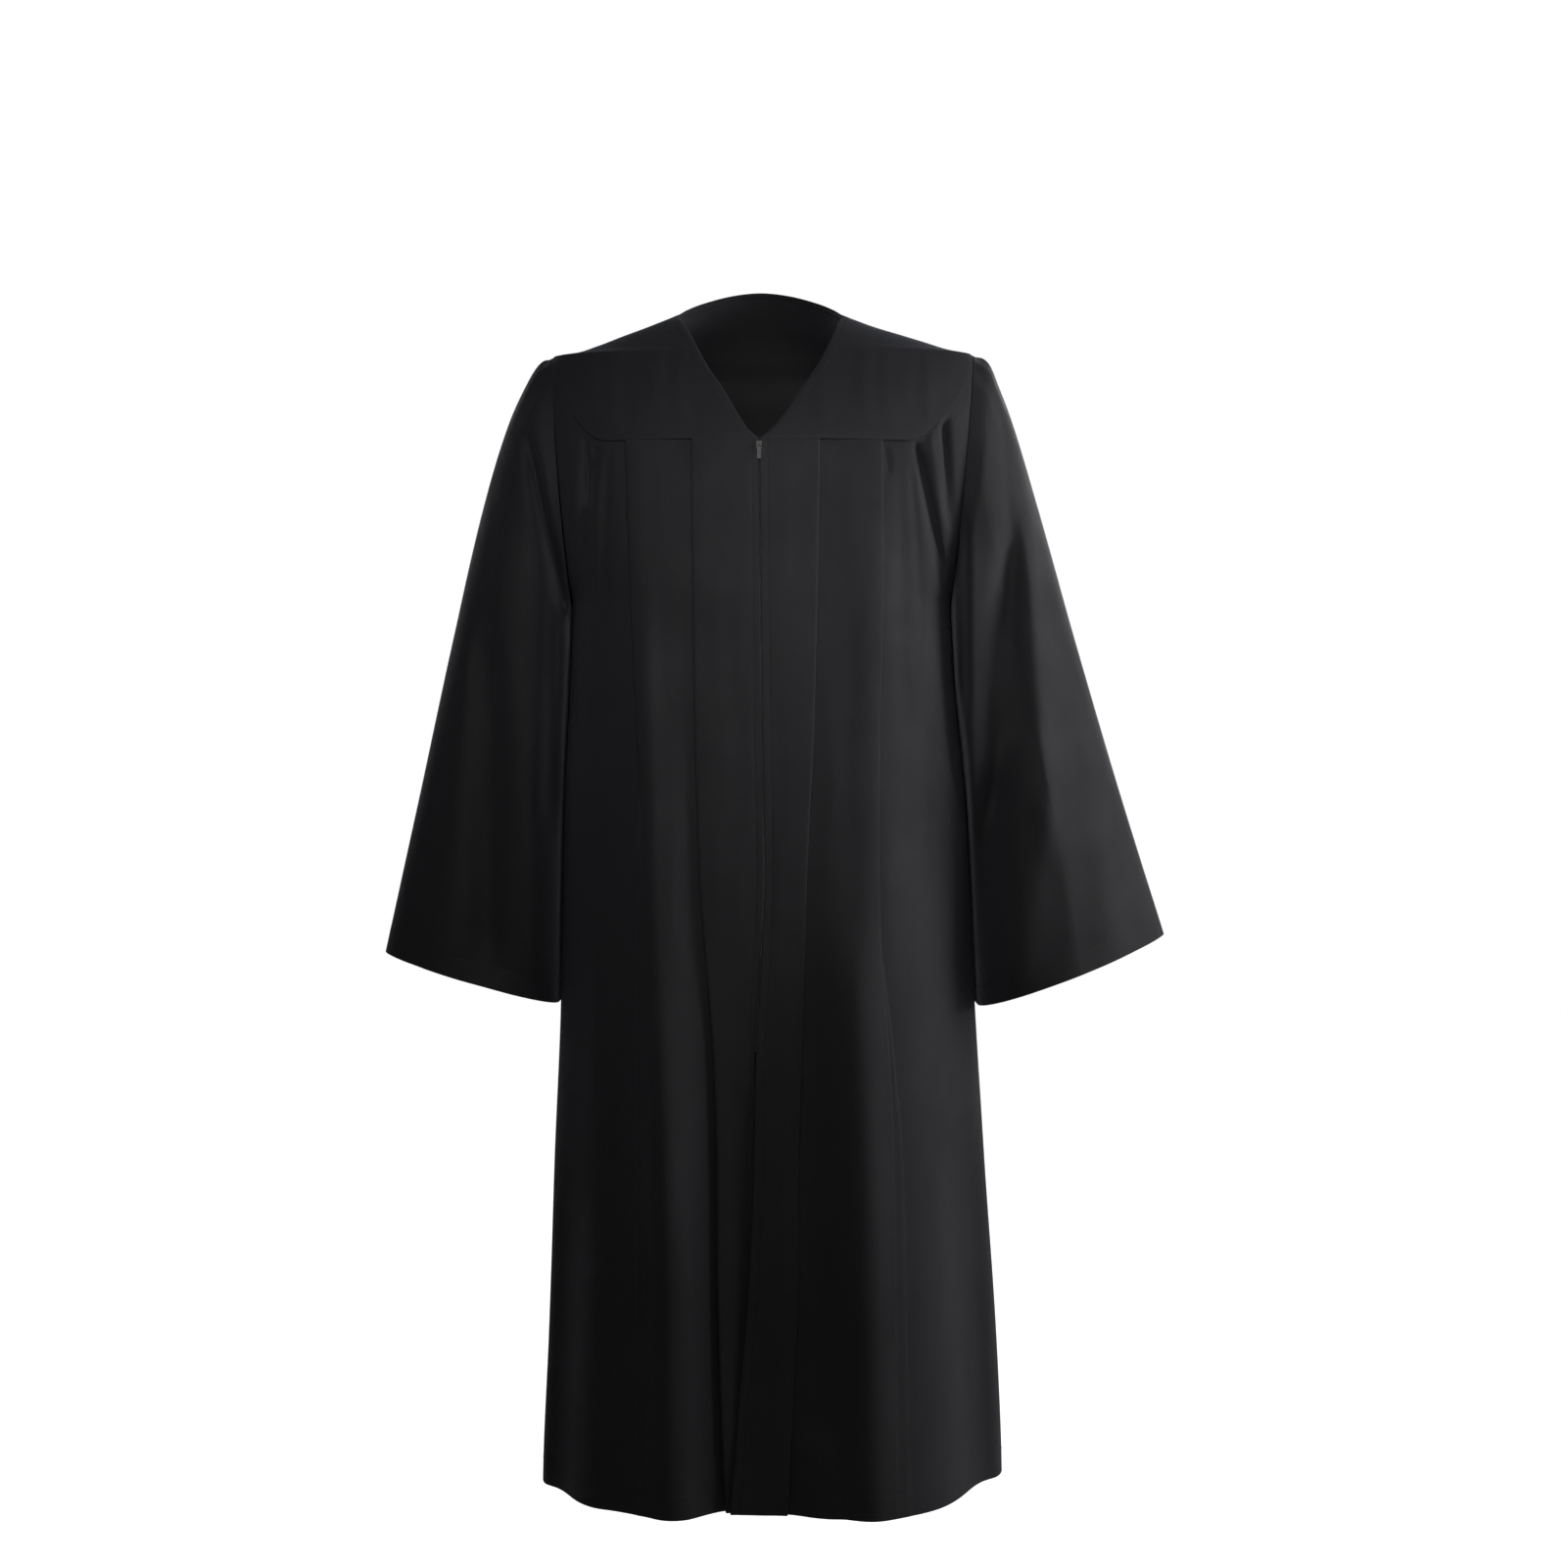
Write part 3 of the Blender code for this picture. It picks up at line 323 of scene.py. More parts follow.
def armhole(side, height, depth):
    """Where the armhole is at a height: how far out, and how far forward or back."""
    top = SHOULDER(side, 1000 * MM)
    share = np.clip((top - height) / (top - UNDERARM), 0.0, 1.0)
    out = blend(SHOULDER_END[side], BODY(side, UNDERARM), share)
    return out, depth * np.sqrt(np.maximum(1 - (2 * share - 1) ** 2, 0.0))


def edge_out(side, height):
    """How far out a front or back ends: at the armhole, and at the side seam below it."""
    return np.where(height > UNDERARM, armhole(side, height, 0.0)[0], BODY(side, height))


def section_half(face, side, height):
    """Half the width of the section that passes through the armhole or the side seam."""
    height = np.asarray(height, float)
    out, depth = armhole(side, height, ARMHOLE_FRONT if face == "front" else ARMHOLE_BACK)
    share = np.minimum(depth / np.maximum(BODY(face, height), MM), 0.99)
    wide = out / (1 - share**SQUARENESS) ** (1 / SQUARENESS)
    wide = np.where(height <= UNDERARM, BODY(side, height), wide)
    return np.where(height >= SHOULDER(side, 1000 * MM), top_half_width(side, height), wide)


def surface_y(face, side, out, height, back=0.0):
    """Depth of the gown's surface, and of a fold that lies back from it."""
    share = np.minimum(np.abs(out) / section_half(face, side, height), 1.0)
    depth = BODY(face, height) * (1 - share**SQUARENESS) ** (1 / SQUARENESS)
    seam = BODY("side", height) * share**4 * SIDES[side]
    if face == "front":
        return seam - depth + back
    fade = 1 - ease((top_height(side, 0.0) - height) / NAPE_BLEND)
    spread = ease((top_height(side, out) - height) / NAPE_SPREAD)
    round_neck = np.maximum(1 - (out / (NECK_HALF * (1 + NAPE_WIDENING * spread))) ** 2, 0.0)
    return seam + depth + NAPE_BACK * fade * round_neck ** (0.5 + spread) - back


def trough(folds, out, height):
    """How far the soft folds in a list press the cloth in at each place."""
    total = np.zeros_like(out)
    for top_out, top, low_out, low, width, depth in folds:
        along = (top * MM - height) / ((top - low) * MM)
        middle = blend(top_out, low_out, along) * MM
        strength = (ease((along + FOLD_PAST) / FOLD_OPENS)
                    * ease((1 + FOLD_PAST - along) / FOLD_CLOSES))
        total += depth * MM * strength * np.exp(-((out - middle) / (width * MM)) ** 2)
    return total


def yoke_seam_height(side, out):
    """Height of the front yoke seam."""
    end = armhole(side, YOKE_SEAM + SEAM_RISE, 0.0)[0]
    share = np.clip((out - SEAM_BEND[side]) / (end - SEAM_BEND[side]), 0.0, 1.0)
    return YOKE_SEAM + SEAM_RISE * share**SEAM_POWER


def ripple(out, height, seed):
    """Slight unevenness of hanging cloth, under half a millimetre."""
    total = 0.0
    for k, (across, down) in enumerate(RIPPLES):
        phase = 1.7 * seed + 2.3 * k
        total = total + np.sin(out / MM / across * 2 * math.pi + phase
                               + 1.3 * np.sin(height / MM / down * 2 * math.pi + phase))
    return total * RIPPLE_HEIGHT


def body_fold(face, side, out, height):
    """How far the body's soft folds press the cloth in. They start at the seam above."""
    seam = yoke_seam_height(side, out) if face == "front" else BACK_SEAM
    folds = [row[2:] for row in BODY_FOLDS + FINE_FOLDS if row[:2] == (face, side)]
    seed = ("front", "back").index(face) + 2 * (side == "right")
    depth = trough(folds, out, height) + ripple(out, height, seed)
    return depth * ease((seam - height) / FOLD_START)


# Pleated panels: cloth turned in at the edges, and the sewing beside the zip, in a groove
HEM_FOLD = 25.0 * MM
CUFF_FOLD = 21.0 * MM
CUFF_FLARE = 1.5 * MM     # the turned cuff stands out a little
NECK_FOLD = 22.0 * MM     # at the back of the neck
V_FOLD = 14.0 * MM
ZIP_FOLD = 9.0 * MM       # at the zip and the free edges of the fronts
STITCH_IN = 7.0 * MM
STITCH_GROOVE = 1.1 * MM
STITCH_SINK = 0.35 * MM
# Columns of half a panel: fixed distances from its edge in mm, then steps across each zone
NEAR_ZIP = (0, 0.8, 2, 3.5, 5, 6, 7, 8, 9, 10.5)
NEAR_MIDDLE = (0, 6)
STRIP_START = 12.0 * MM   # the strip's steps start this far from the edge
STRIP_STEPS, PLEAT_STEPS, PANEL_STEPS, SIDE_STEPS = 18, 17, 26, 52
# Rows of half a panel, and the last ones of it and of a sleeve by their mm above the edge
ROWS_TO_UNDERARM, ROWS_TO_HEM = 44, 118
ROWS_IN_HEM = (29, 27, 26, 25, 24, 22, 18, 13, 8, 4, 2, 1, 0.4, 0)
ROWS_IN_CUFF = (23, 22, 21, 20, 18, 14, 9, 5, 2, 1, 0.4, 0)


def pleat(line, back, lap, layer, share):
    """Out and back along a pleat: folded edge, return, fold below it and flat foot."""
    opened, folded = np.maximum(-lap, 0.0), np.maximum(lap, 0.0)
    outs = (line, line + opened * 0.33, line - folded + opened * 0.66, line - lap,
            line + opened + FOOT)
    backs = (back, back + layer, back + layer, back + 2 * layer, back + 2 * layer)
    marks = (0.0, 0.35, 0.5, 0.85, 1.0)
    k = min(sum(share >= mark for mark in marks) - 1, 3)
    t = (share - marks[k]) / (marks[k + 1] - marks[k])
    bulge = (1, 0, -1, 0)[k] * layer / 2 * math.sin(math.pi * t) * ease(lap / (4 * MM))
    swing = (1 - math.cos(math.pi * t)) / 2
    return blend(outs[k], outs[k + 1], t) + bulge, blend(backs[k], backs[k + 1], swing)


def section(face, side, pleats, zone, share, height):
    """Out and back of one column of a pleated half, at the heights of its points."""
    size = {name: pleats(name, height) for name in PLEAT_COLUMNS.split()[1:]}
    last = 0.0
    if zone in ("edge", "strip"):
        if zone == "edge":
            share = share / (size["inner"] - size["edge"])
        else:
            share = blend(STRIP_START / (size["inner"] - size["edge"]), 1.0, share)
        out = blend(size["edge"], size["inner"], share)
        back = blend(size["edge_back"], size["inner_back"], ease(share))
        if face == "front":
            sewn = (out - size["edge"] - STITCH_IN) / STITCH_GROOVE
            back = back + STITCH_SINK * np.exp(-sewn**2)
    elif zone == "inner":
        out, back = pleat(size["inner"], size["inner_back"], size["inner_lap"],
                          size["inner_layer"], share)
    elif zone == "panel":
        start, low = pleat(size["inner"], size["inner_back"], size["inner_lap"],
                           size["inner_layer"], 1.0)
        out = blend(start, size["outer"], share)
        back = low * (1 - ease(share)) - size["swell"] * math.sin(math.pi * share)
    elif zone == "outer":
        out, back = pleat(size["outer"], 0.0, size["outer_lap"], size["outer_layer"], share)
    else:
        start, low = pleat(size["outer"], 0.0, size["outer_lap"], size["outer_layer"], 1.0)
        half = section_half(face, side, height)
        first = np.arcsin(np.minimum(start / half, 1.0) ** (SQUARENESS / 2))
        final = np.arcsin(np.minimum(edge_out(side, height) / half, 1.0) ** (SQUARENESS / 2))
        out = half * np.sin(blend(first, final, share)) ** (2 / SQUARENESS)
        back = low * (1 - ease(share))
        last = share**6
    return out, back + body_fold(face, side, out, height) * (1 - last)


def columns_of(face):
    """Zone and share of each column of a pleated half, from the centre out."""
    near = NEAR_ZIP if face == "front" else NEAR_MIDDLE
    columns = [("edge", distance * MM) for distance in near]
    for zone, steps in (("strip", STRIP_STEPS), ("inner", PLEAT_STEPS), ("panel", PANEL_STEPS),
                        ("outer", PLEAT_STEPS), ("side", SIDE_STEPS)):
        columns += [(zone, k / steps) for k in range(steps)]
    return columns + [("side", 1.0)]


def panel_heights(top):
    """Heights down one column, closer together at the seam above and in the hem."""
    upper = [blend(top, UNDERARM, (k / ROWS_TO_UNDERARM) ** 1.35) for k in range(ROWS_TO_UNDERARM)]
    low = HEM + ROWS_IN_HEM[0] * MM
    lower = [blend(UNDERARM, low, k / ROWS_TO_HEM) for k in range(ROWS_TO_HEM)]
    return np.array(upper + lower + [HEM + step * MM for step in ROWS_IN_HEM])


def half_panel(face, side):
    """Grid of half a front or back: columns from the centre out, rows from the seam down."""
    pleats = BACK_PLEATS if face == "back" else FRONT_PLEATS[side]
    columns = []
    for zone, share in columns_of(face):
        top = np.array([BACK_SEAM if face == "back" else YOKE_SEAM])
        if face == "front":
            for _ in range(10):
                top = yoke_seam_height(side, section(face, side, pleats, zone, share, top)[0])
        height = panel_heights(float(top[0]))
        out, back = section(face, side, pleats, zone, share, height)
        y = surface_y(face, side, out, height, back)
        columns.append(np.stack((SIDES[side] * out, y, height), axis=1))
    return np.array(columns)


# Yokes

YOKE_CROWDING = 1.5       # power that crowds the rows at the upper edge


def front_yoke(side, across=66, down=46):
    """Front yoke: a patch between the V, the shoulder line, the armhole and the yoke seam."""
    end = armhole(side, YOKE_SEAM + SEAM_RISE, 0.0)[0]
    u = np.linspace(0, 1, across + 1)[:, None]
    v = np.linspace(0, 1, down + 1)[None, :] ** YOKE_CROWDING

    def pair(out, height):
        return np.stack(np.broadcast_arrays(out, height))

    top_out = blend(NECK_HALF, SHOULDER_END[side], u)
    low_out = blend(V_FOOT, end, u)
    neck_height = blend(NECK_HEIGHT, YOKE_SEAM, v)
    arm_height = blend(SHOULDER(side, 1000 * MM), YOKE_SEAM + SEAM_RISE, v)
    top = pair(top_out, top_height(side, top_out))
    low = pair(low_out, yoke_seam_height(side, low_out))
    neck = pair(NECK_V(side, neck_height), neck_height)
    arm = pair(armhole(side, arm_height, 0.0)[0], arm_height)
    corners = ((top[:, :1] * (1 - u) + top[:, -1:] * u) * (1 - v)
               + (low[:, :1] * (1 - u) + low[:, -1:] * u) * v)
    out, height = top * (1 - v) + low * v + neck * (1 - u) + arm * u - corners
    y = surface_y("front", side, out, height)
    y[:, 0] = 0.0
    y[-1] = -armhole(side, height[-1], ARMHOLE_FRONT)[1]
    away = ease(v / 0.3) * ease((1 - v) / 0.25) * ease(u / 0.1) * ease((1 - u) / 0.1)
    y = y + ripple(out, height * 1.5, 5 + SIDES[side]) * 1.6 * away
    return np.stack((SIDES[side] * out, y, height), axis=2)


def back_yoke(neck=34, shoulder=40, rows=60):
    """Back yoke, from the neck edge and the shoulder lines down to its straight seam."""
    halves = []
    for side in SIDES:
        around = NECK_HALF * np.sin(np.arange(neck) / neck * math.pi / 2)
        along = blend(NECK_HALF, SHOULDER_END[side], np.arange(shoulder + 1) / shoulder)
        out = np.concatenate((around, along))[:, None]
        v = np.linspace(0, 1, rows + 1)[None, :] ** YOKE_CROWDING
        top = top_height(side, out)
        low_out = out / SHOULDER_END[side] * armhole(side, BACK_SEAM, 0.0)[0]
        height, place = blend(top, BACK_SEAM, v), blend(out, low_out, v)
        y = surface_y("back", side, place, height)
        y[:, 0] = NAPE_BACK * np.sqrt(np.maximum(1 - (out[:, 0] / NECK_HALF) ** 2, 0.0))
        y[-1] = armhole(side, height[-1], ARMHOLE_BACK)[1]
        halves.append(np.stack((SIDES[side] * place, y, height), axis=2))
    return np.concatenate((halves[0][:0:-1], halves[1]))


# Sleeves

def sleeve(side, around=150, rows=112):
    """Grid of a sleeve: columns around it, rows from the armhole down to the cuff."""
    table = SLEEVES[side]
    head = int(around * HEAD_SHARE)
    angle = [blend(-GATHER_SPREAD, GATHER_SPREAD, k / head) for k in range(head)]
    angle += [blend(GATHER_SPREAD, 2 * math.pi - GATHER_SPREAD, k / (around - head))
              for k in range(around - head)]
    angle = np.array(angle)[:, None]
    in_cuff = np.array(ROWS_IN_CUFF) * MM / SLEEVE_LENGTH
    along = np.concatenate((np.linspace(0, 1, rows) ** 1.25 * (1 - in_cuff[0] - 0.004),
                            1 - in_cuff))[None, :]
    size = {name: table(name, along * 1000 * MM) for name in SLEEVE_COLUMNS.split()[1:]}
    flare = CUFF_FLARE * np.clip(1 - (1 - along) * SLEEVE_LENGTH / CUFF_FOLD, 0, 1)
    size["front"], size["back"] = size["front"] + flare, size["back"] + flare
    inner_square = np.where(np.sin(angle) < 0, size["front_square"], size["back_square"])
    power = 2000 * MM / np.where(np.cos(angle) < 0, inner_square, size["outer_square"])
    across = np.sign(np.cos(angle)) * np.abs(np.cos(angle)) ** power
    sideways = np.sign(np.sin(angle)) * np.abs(np.sin(angle)) ** power
    outer = np.stack((size["outer"], size["outer_height"]))
    inner = np.stack((size["inner"], size["inner_height"]))
    point = (outer + inner) / 2 + (outer - inner) / 2 * across
    turned = np.abs(np.arctan2(np.sin(angle), np.cos(angle)))
    inside = np.clip(turned / GATHER_SPREAD, 0, 1)
    fade = ease(along / 0.02) * np.exp(-(along / GATHER_REACH) ** 2)
    wave = np.cos(inside * GATHERS * math.pi)
    fine = np.zeros_like(angle * along)
    for waves, uneven, turns, reach, share in FINE_GATHERS:
        shape = np.cos(angle * waves + uneven * np.sin(angle * turns))
        fine += shape * np.exp(-(along / reach) ** 2) * share
    lift = GATHER_HEIGHT * ease(along / 0.02) * np.cos(inside * math.pi / 2)
    way = (outer - inner) / np.linalg.norm(outer - inner, axis=0)
    gather = GATHER_HEIGHT * fade * np.cos(inside * math.pi / 2) * wave
    point = point + way * (gather + lift * fine)
    out, height = point
    fold = np.zeros_like(out)
    for face, sign in (("front", -1), ("back", 1)):
        folds = [row[1:] for row in SLEEVE_FOLDS[side] if row[0] == face]
        fold += np.where(np.sign(sideways) == sign, trough(folds, out, height), 0.0)
    ripples = ripple(out, height, 8 + SIDES[side]) * ease(along / 0.06)
    fold = fold * np.minimum(np.abs(sideways) * 1.3, 1.0) + ripples
    y = np.where(sideways > 0, size["back"] * sideways - fold, size["front"] * sideways + fold)
    return np.stack((SIDES[side] * out, y, height), axis=2)


# From surfaces to cloth

WALL = 0.6 * MM           # the cloth's own thickness
SEAM = ("seam", 6.0 * MM)  # an edge sewn to the next piece, and the cloth turned in there
TURN = 0.7 * MM           # radius of that turn


def unit(vectors):
    return vectors / np.maximum(np.linalg.norm(vectors, axis=-1, keepdims=True), 1e-12)


def normals_of(grid, closed, like):
    """Unit normals of a grid, on the side that most of the given directions point to."""
    across = np.gradient(grid, axis=0)
    if closed:
        across = np.roll(grid, -1, axis=0) - np.roll(grid, 1, axis=0)
    normal = unit(np.cross(across, np.gradient(grid, axis=1)))
    return normal if (normal * like).sum() > 0 else -normal


def add_edge(grid, normal, inward, axis, end, kind, reach):
    """Grid, normals and ways in, with one edge turned in: as a sewn seam or a folded hem."""
    grid, normal, inward = (np.moveaxis(thing, axis, 0) for thing in (grid, normal, inward))
    if end:
        grid, normal, inward = grid[::-1], normal[::-1], inward[::-1]
    line, way = grid[0], normal[0]
    past = unit(grid[0] - grid[1])
    if kind == "seam":
        start = line - past * TURN
        turned = [start + past * TURN * math.sin(math.radians(turn))
                  + inward[0] * TURN * (1 - math.cos(math.radians(turn))) for turn in (30, 60, 90)]
        turned.append(turned[-1] + inward[0] * reach)
        near = np.linalg.norm(grid - line, axis=2).mean(axis=1)
        keep = near > 1.4 * TURN
        extra = np.array(turned[::-1] + [start])
        grid, normal, inward = grid[keep], normal[keep], inward[keep]
    else:
        layer = 2 * WALL
        turned = [line + past * layer / 2 * math.sin(math.radians(turn))
                  - way * layer / 2 * (1 - math.cos(math.radians(turn))) for turn in (60, 120)]
        run = np.cumsum(np.linalg.norm(np.diff(grid, axis=0), axis=2).mean(axis=1))
        for k in range(1, 1 + int((run < reach).sum())):
            turned.append(grid[k] - normal[k] * layer)
        extra = np.array(turned[::-1])
    grid = np.concatenate((extra, grid))
    normal = np.concatenate((np.repeat(way[None], len(extra), axis=0), normal))
    inward = np.concatenate((np.repeat(inward[:1], len(extra), axis=0), inward))
    if end:
        grid, normal, inward = grid[::-1], normal[::-1], inward[::-1]
    return [np.moveaxis(thing, 0, axis) for thing in (grid, normal, inward)]


def shell(grid, normal, closed):
    """Points and faces of a wall of cloth round a grid."""
    count, rows = grid.shape[:2]
    points = np.concatenate(((grid + normal * WALL / 2).reshape(-1, 3),
                             (grid - normal * WALL / 2).reshape(-1, 3)))
    index = np.arange(count * rows).reshape(count, rows)
    other = np.roll(index, -1, axis=0) if closed else index[1:]
    this = index if closed else index[:-1]
    behind = count * rows
    quads = np.stack((this[:, :-1], this[:, 1:], other[:, 1:], other[:, :-1]), axis=2)
    quads = quads.reshape(-1, 4)
    faces = [quads, quads[:, ::-1] + behind]

    def rim(a, b):
        faces.append(np.stack((a, b, b + behind, a + behind), axis=1))

    rim(this[:, 0], other[:, 0])
    rim(other[:, -1], this[:, -1])
    if not closed:
        rim(index[0, 1:], index[0, :-1])
        rim(index[-1, :-1], index[-1, 1:])
    faces = np.concatenate(faces)
    a, b, d = (points[quads[:, k]] for k in (0, 1, 3))
    if (np.cross(b - a, d - a) * normal.reshape(-1, 3)[quads[:, 0]]).sum() < 0:
        faces = faces[:, ::-1]
    return points, faces


def tube_faces(first, rings, sides):
    """Faces round a tube whose rings of points follow each other from a first point."""
    faces = []
    for ring in range(rings - 1):
        for k in range(sides):
            a, b = first + ring * sides + k, first + ring * sides + (k + 1) % sides
            faces.append((a, b, b + sides, a + sides))
    return faces


def weave_map(mesh, grid):
    """A map in metres of cloth, across along the weft and down along the warp."""
    across = np.cumsum(np.linalg.norm(np.diff(grid, axis=0, prepend=grid[:1]), axis=2), axis=0)
    down = np.cumsum(np.linalg.norm(np.diff(grid, axis=1, prepend=grid[:, :1]), axis=2), axis=1)
    places = np.stack((across, down), axis=2).reshape(-1, 2)
    places = np.concatenate((places, places))
    corner = np.empty(len(mesh.loops), dtype=np.int32)
    mesh.loops.foreach_get("vertex_index", corner)
    mesh.uv_layers.new(name="weave").uv.foreach_set("vector", places[corner].ravel())


def new_object(name, points, faces, material, slot):
    """A new piece of the gown, in the given material. The slot is not used."""
    mesh = bpy.data.meshes.new(name)
    mesh.from_pydata(np.asarray(points).tolist(), [], np.asarray(faces).tolist())
    mesh.shade_smooth()
    mesh.materials.append(material)
    piece = bpy.data.objects.new(name, mesh)
    bpy.context.collection.objects.link(piece)
    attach(piece, "gown")
    return piece


pieces, surfaces = {}, {}


def add_cloth(name, grid, edges, outward, inward=None, closed=False):
    """Cloth round a grid, with its first and last column, top and low edge turned in."""
    normal = normals_of(grid, closed, outward)
    inward = -normal if inward is None else inward
    surfaces[name] = grid, normal
    for number, edge in enumerate(edges):
        if edge:
            grid, normal, inward = add_edge(grid, normal, inward, number // 2, number % 2, *edge)
    normal = normals_of(grid, closed, normal)
    piece = new_object(name + "_cloth", *shell(grid, normal, closed), CLOTH_MATERIAL, "cloth")
    weave_map(piece.data, grid)
    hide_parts(name)
    pieces[name] = piece


# Materials

def node(tree, kind, **values):
    """A shader node, with values for its inputs or its own settings."""
    made = tree.nodes.new("ShaderNode" + kind)
    for name, value in values.items():
        if name in made.inputs:
            made.inputs[name].default_value = value
        else:
            setattr(made, name, value)
    return made


def math_node(tree, operation, *values):
    """Result of a sum on numbers and sockets."""
    made = node(tree, "Math", operation=operation)
    for socket, value in zip(made.inputs, values):
        if isinstance(value, bpy.types.NodeSocket):
            tree.links.new(value, socket)
        else:
            socket.default_value = value
    return made.outputs[0]


def noise_node(tree, place, scale, detail, low, high):
    """Noise with so many waves a metre, spread over a range."""
    noise = node(tree, "TexNoise", Scale=scale, Detail=detail)
    tree.links.new(place, noise.inputs["Vector"])
    mapped = node(tree, "MapRange")
    for name, value in (("From Min", 0.3), ("From Max", 0.7), ("To Min", low), ("To Max", high)):
        mapped.inputs[name].default_value = value
    tree.links.new(noise.outputs["Fac"], mapped.inputs["Value"])
    return mapped.outputs["Result"]


def start_material(name):
    material = bpy.data.materials.new(name)
    material.use_nodes = True
    tree = material.node_tree
    return material, tree, tree.nodes["Principled BSDF"]


def shade(tree, shader, colour, amount):
    """Base colour times a changing amount."""
    mix = node(tree, "VectorMath", operation="SCALE")
    mix.inputs[0].default_value = colour
    tree.links.new(amount, mix.inputs["Scale"])
    tree.links.new(mix.outputs[0], shader.inputs["Base Color"])


def bump(tree, shader, height, distance, strength):
    """Relief on a surface, of a depth in metres."""
    made = node(tree, "Bump", Distance=distance, Strength=strength)
    tree.links.new(height, made.inputs["Height"])
    tree.links.new(made.outputs["Normal"], shader.inputs["Normal"])


THREAD_PITCH = 0.55 * MM  # from one thread of the weave to the next but one
SLUB_SCALE = (1800.0, 60.0, 1.0)  # the threads' unevenness: short across them, long along


def make_cloth():
    """Matt black polyester in a fine plain weave, with slightly uneven threads."""
    material, tree, shader = start_material("black_cloth")
    shader.inputs["Specular IOR Level"].default_value = 0.22
    shader.inputs["Sheen Weight"].default_value = 0.10
    shader.inputs["Sheen Roughness"].default_value = 0.45
    shader.inputs["Sheen Tint"].default_value = (0.80, 0.82, 0.95, 1.0)
    plan = node(tree, "UVMap", uv_map="weave").outputs["UV"]
    parts = node(tree, "SeparateXYZ")
    tree.links.new(plan, parts.inputs[0])
    turn = 2 * math.pi / THREAD_PITCH
    weft = math_node(tree, "SINE", math_node(tree, "MULTIPLY", parts.outputs["Y"], turn))
    warp = math_node(tree, "SINE", math_node(tree, "MULTIPLY", parts.outputs["X"], turn))
    weave = math_node(tree, "MULTIPLY", weft, warp)
    streaks = node(tree, "Mapping")
    streaks.inputs["Scale"].default_value = SLUB_SCALE
    tree.links.new(plan, streaks.inputs["Vector"])
    slub = noise_node(tree, streaks.outputs["Vector"], 1.0, 2.0, -0.5, 0.5)
    place = node(tree, "TexCoord").outputs["Object"]
    height = math_node(tree, "ADD", weave, math_node(tree, "MULTIPLY", slub, 0.7))
    bump(tree, shader, height, 0.00006, 0.6)
    patches = noise_node(tree, place, 9.0, 4.0, 0.90, 1.10)
    grain = math_node(tree, "MULTIPLY_ADD", weave, 0.08, 1.0)
    threads = math_node(tree, "MULTIPLY_ADD", slub, 0.16, 1.0)
    amount = math_node(tree, "MULTIPLY", patches, math_node(tree, "MULTIPLY", grain, threads))
    shade(tree, shader, (0.0105, 0.0104, 0.0122), amount)
    tree.links.new(noise_node(tree, place, 14.0, 3.0, 0.62, 0.74), shader.inputs["Roughness"])
    return material


def make_smooth(name, specular, tones, roughness):
    """Smooth black thread or plastic. Its changes of tone and of gloss are given as noise."""
    material, tree, shader = start_material(name)
    shader.inputs["Specular IOR Level"].default_value = specular
    place = node(tree, "TexCoord").outputs["Object"]
    shade(tree, shader, (0.012, 0.012, 0.013), noise_node(tree, place, *tones))
    tree.links.new(noise_node(tree, place, *roughness), shader.inputs["Roughness"])
    return material


def make_tape():
    """Ribbed woven tape of the zip."""
    material, tree, shader = start_material("zip_tape_cloth")
    shader.inputs["Specular IOR Level"].default_value = 0.25
    place = node(tree, "TexCoord").outputs["Object"]
    parts = node(tree, "SeparateXYZ")
    tree.links.new(place, parts.inputs[0])
    rib = math_node(tree, "SINE", math_node(tree, "MULTIPLY", parts.outputs["X"], 9000.0))
    weft = math_node(tree, "SINE", math_node(tree, "MULTIPLY", parts.outputs["Z"], 12000.0))
    height = math_node(tree, "MULTIPLY", rib, weft)
    bump(tree, shader, height, 0.00008, 0.6)
    shade(tree, shader, (0.008, 0.008, 0.0085), math_node(tree, "MULTIPLY_ADD", height, 0.15, 1.0))
    tree.links.new(noise_node(tree, place, 60.0, 2.0, 0.7, 0.85), shader.inputs["Roughness"])
    return material


def make_metal():
    """Black enamelled zinc, with faint wear and casting grain."""
    material, tree, shader = start_material("plated_metal")
    shader.inputs["Metallic"].default_value = 0.25
    place = node(tree, "TexCoord").outputs["Object"]
    shade(tree, shader, (0.05, 0.05, 0.052), noise_node(tree, place, 500.0, 3.0, 0.75, 1.1))
    grain = noise_node(tree, place, 2500.0, 3.0, 0.0, 1.0)
    bump(tree, shader, grain, 0.00002, 0.5)
    tree.links.new(noise_node(tree, place, 900.0, 3.0, 0.4, 0.56), shader.inputs["Roughness"])
    return material


CLOTH_MATERIAL = make_cloth()
THREAD = make_smooth("sewing_thread", 0.4, (900.0, 2.0, 0.8, 1.25), (1500.0, 2.0, 0.45, 0.65))
TAPE = make_tape()
NYLON = make_smooth("zip_nylon", 0.45, (400.0, 2.0, 0.8, 1.2), (300.0, 2.0, 0.3, 0.45))
METAL = make_metal()


# Sewing

STITCH = 3.0 * MM         # from stitch to stitch
STITCH_LENGTH = 2.4 * MM  # what shows of each
THREAD_HALF = 0.22 * MM   # half the thread's thickness
HEM_SEWING = 24.0 * MM    # above the lower edge
CUFF_SEWING = 20.0 * MM
# Sewn columns: in the fronts the one at STITCH_IN, in the front yokes the one beside the V
SEWN_COLUMNS = (("zip", "front_", 6), ("neck", "yoke_front_", 3))


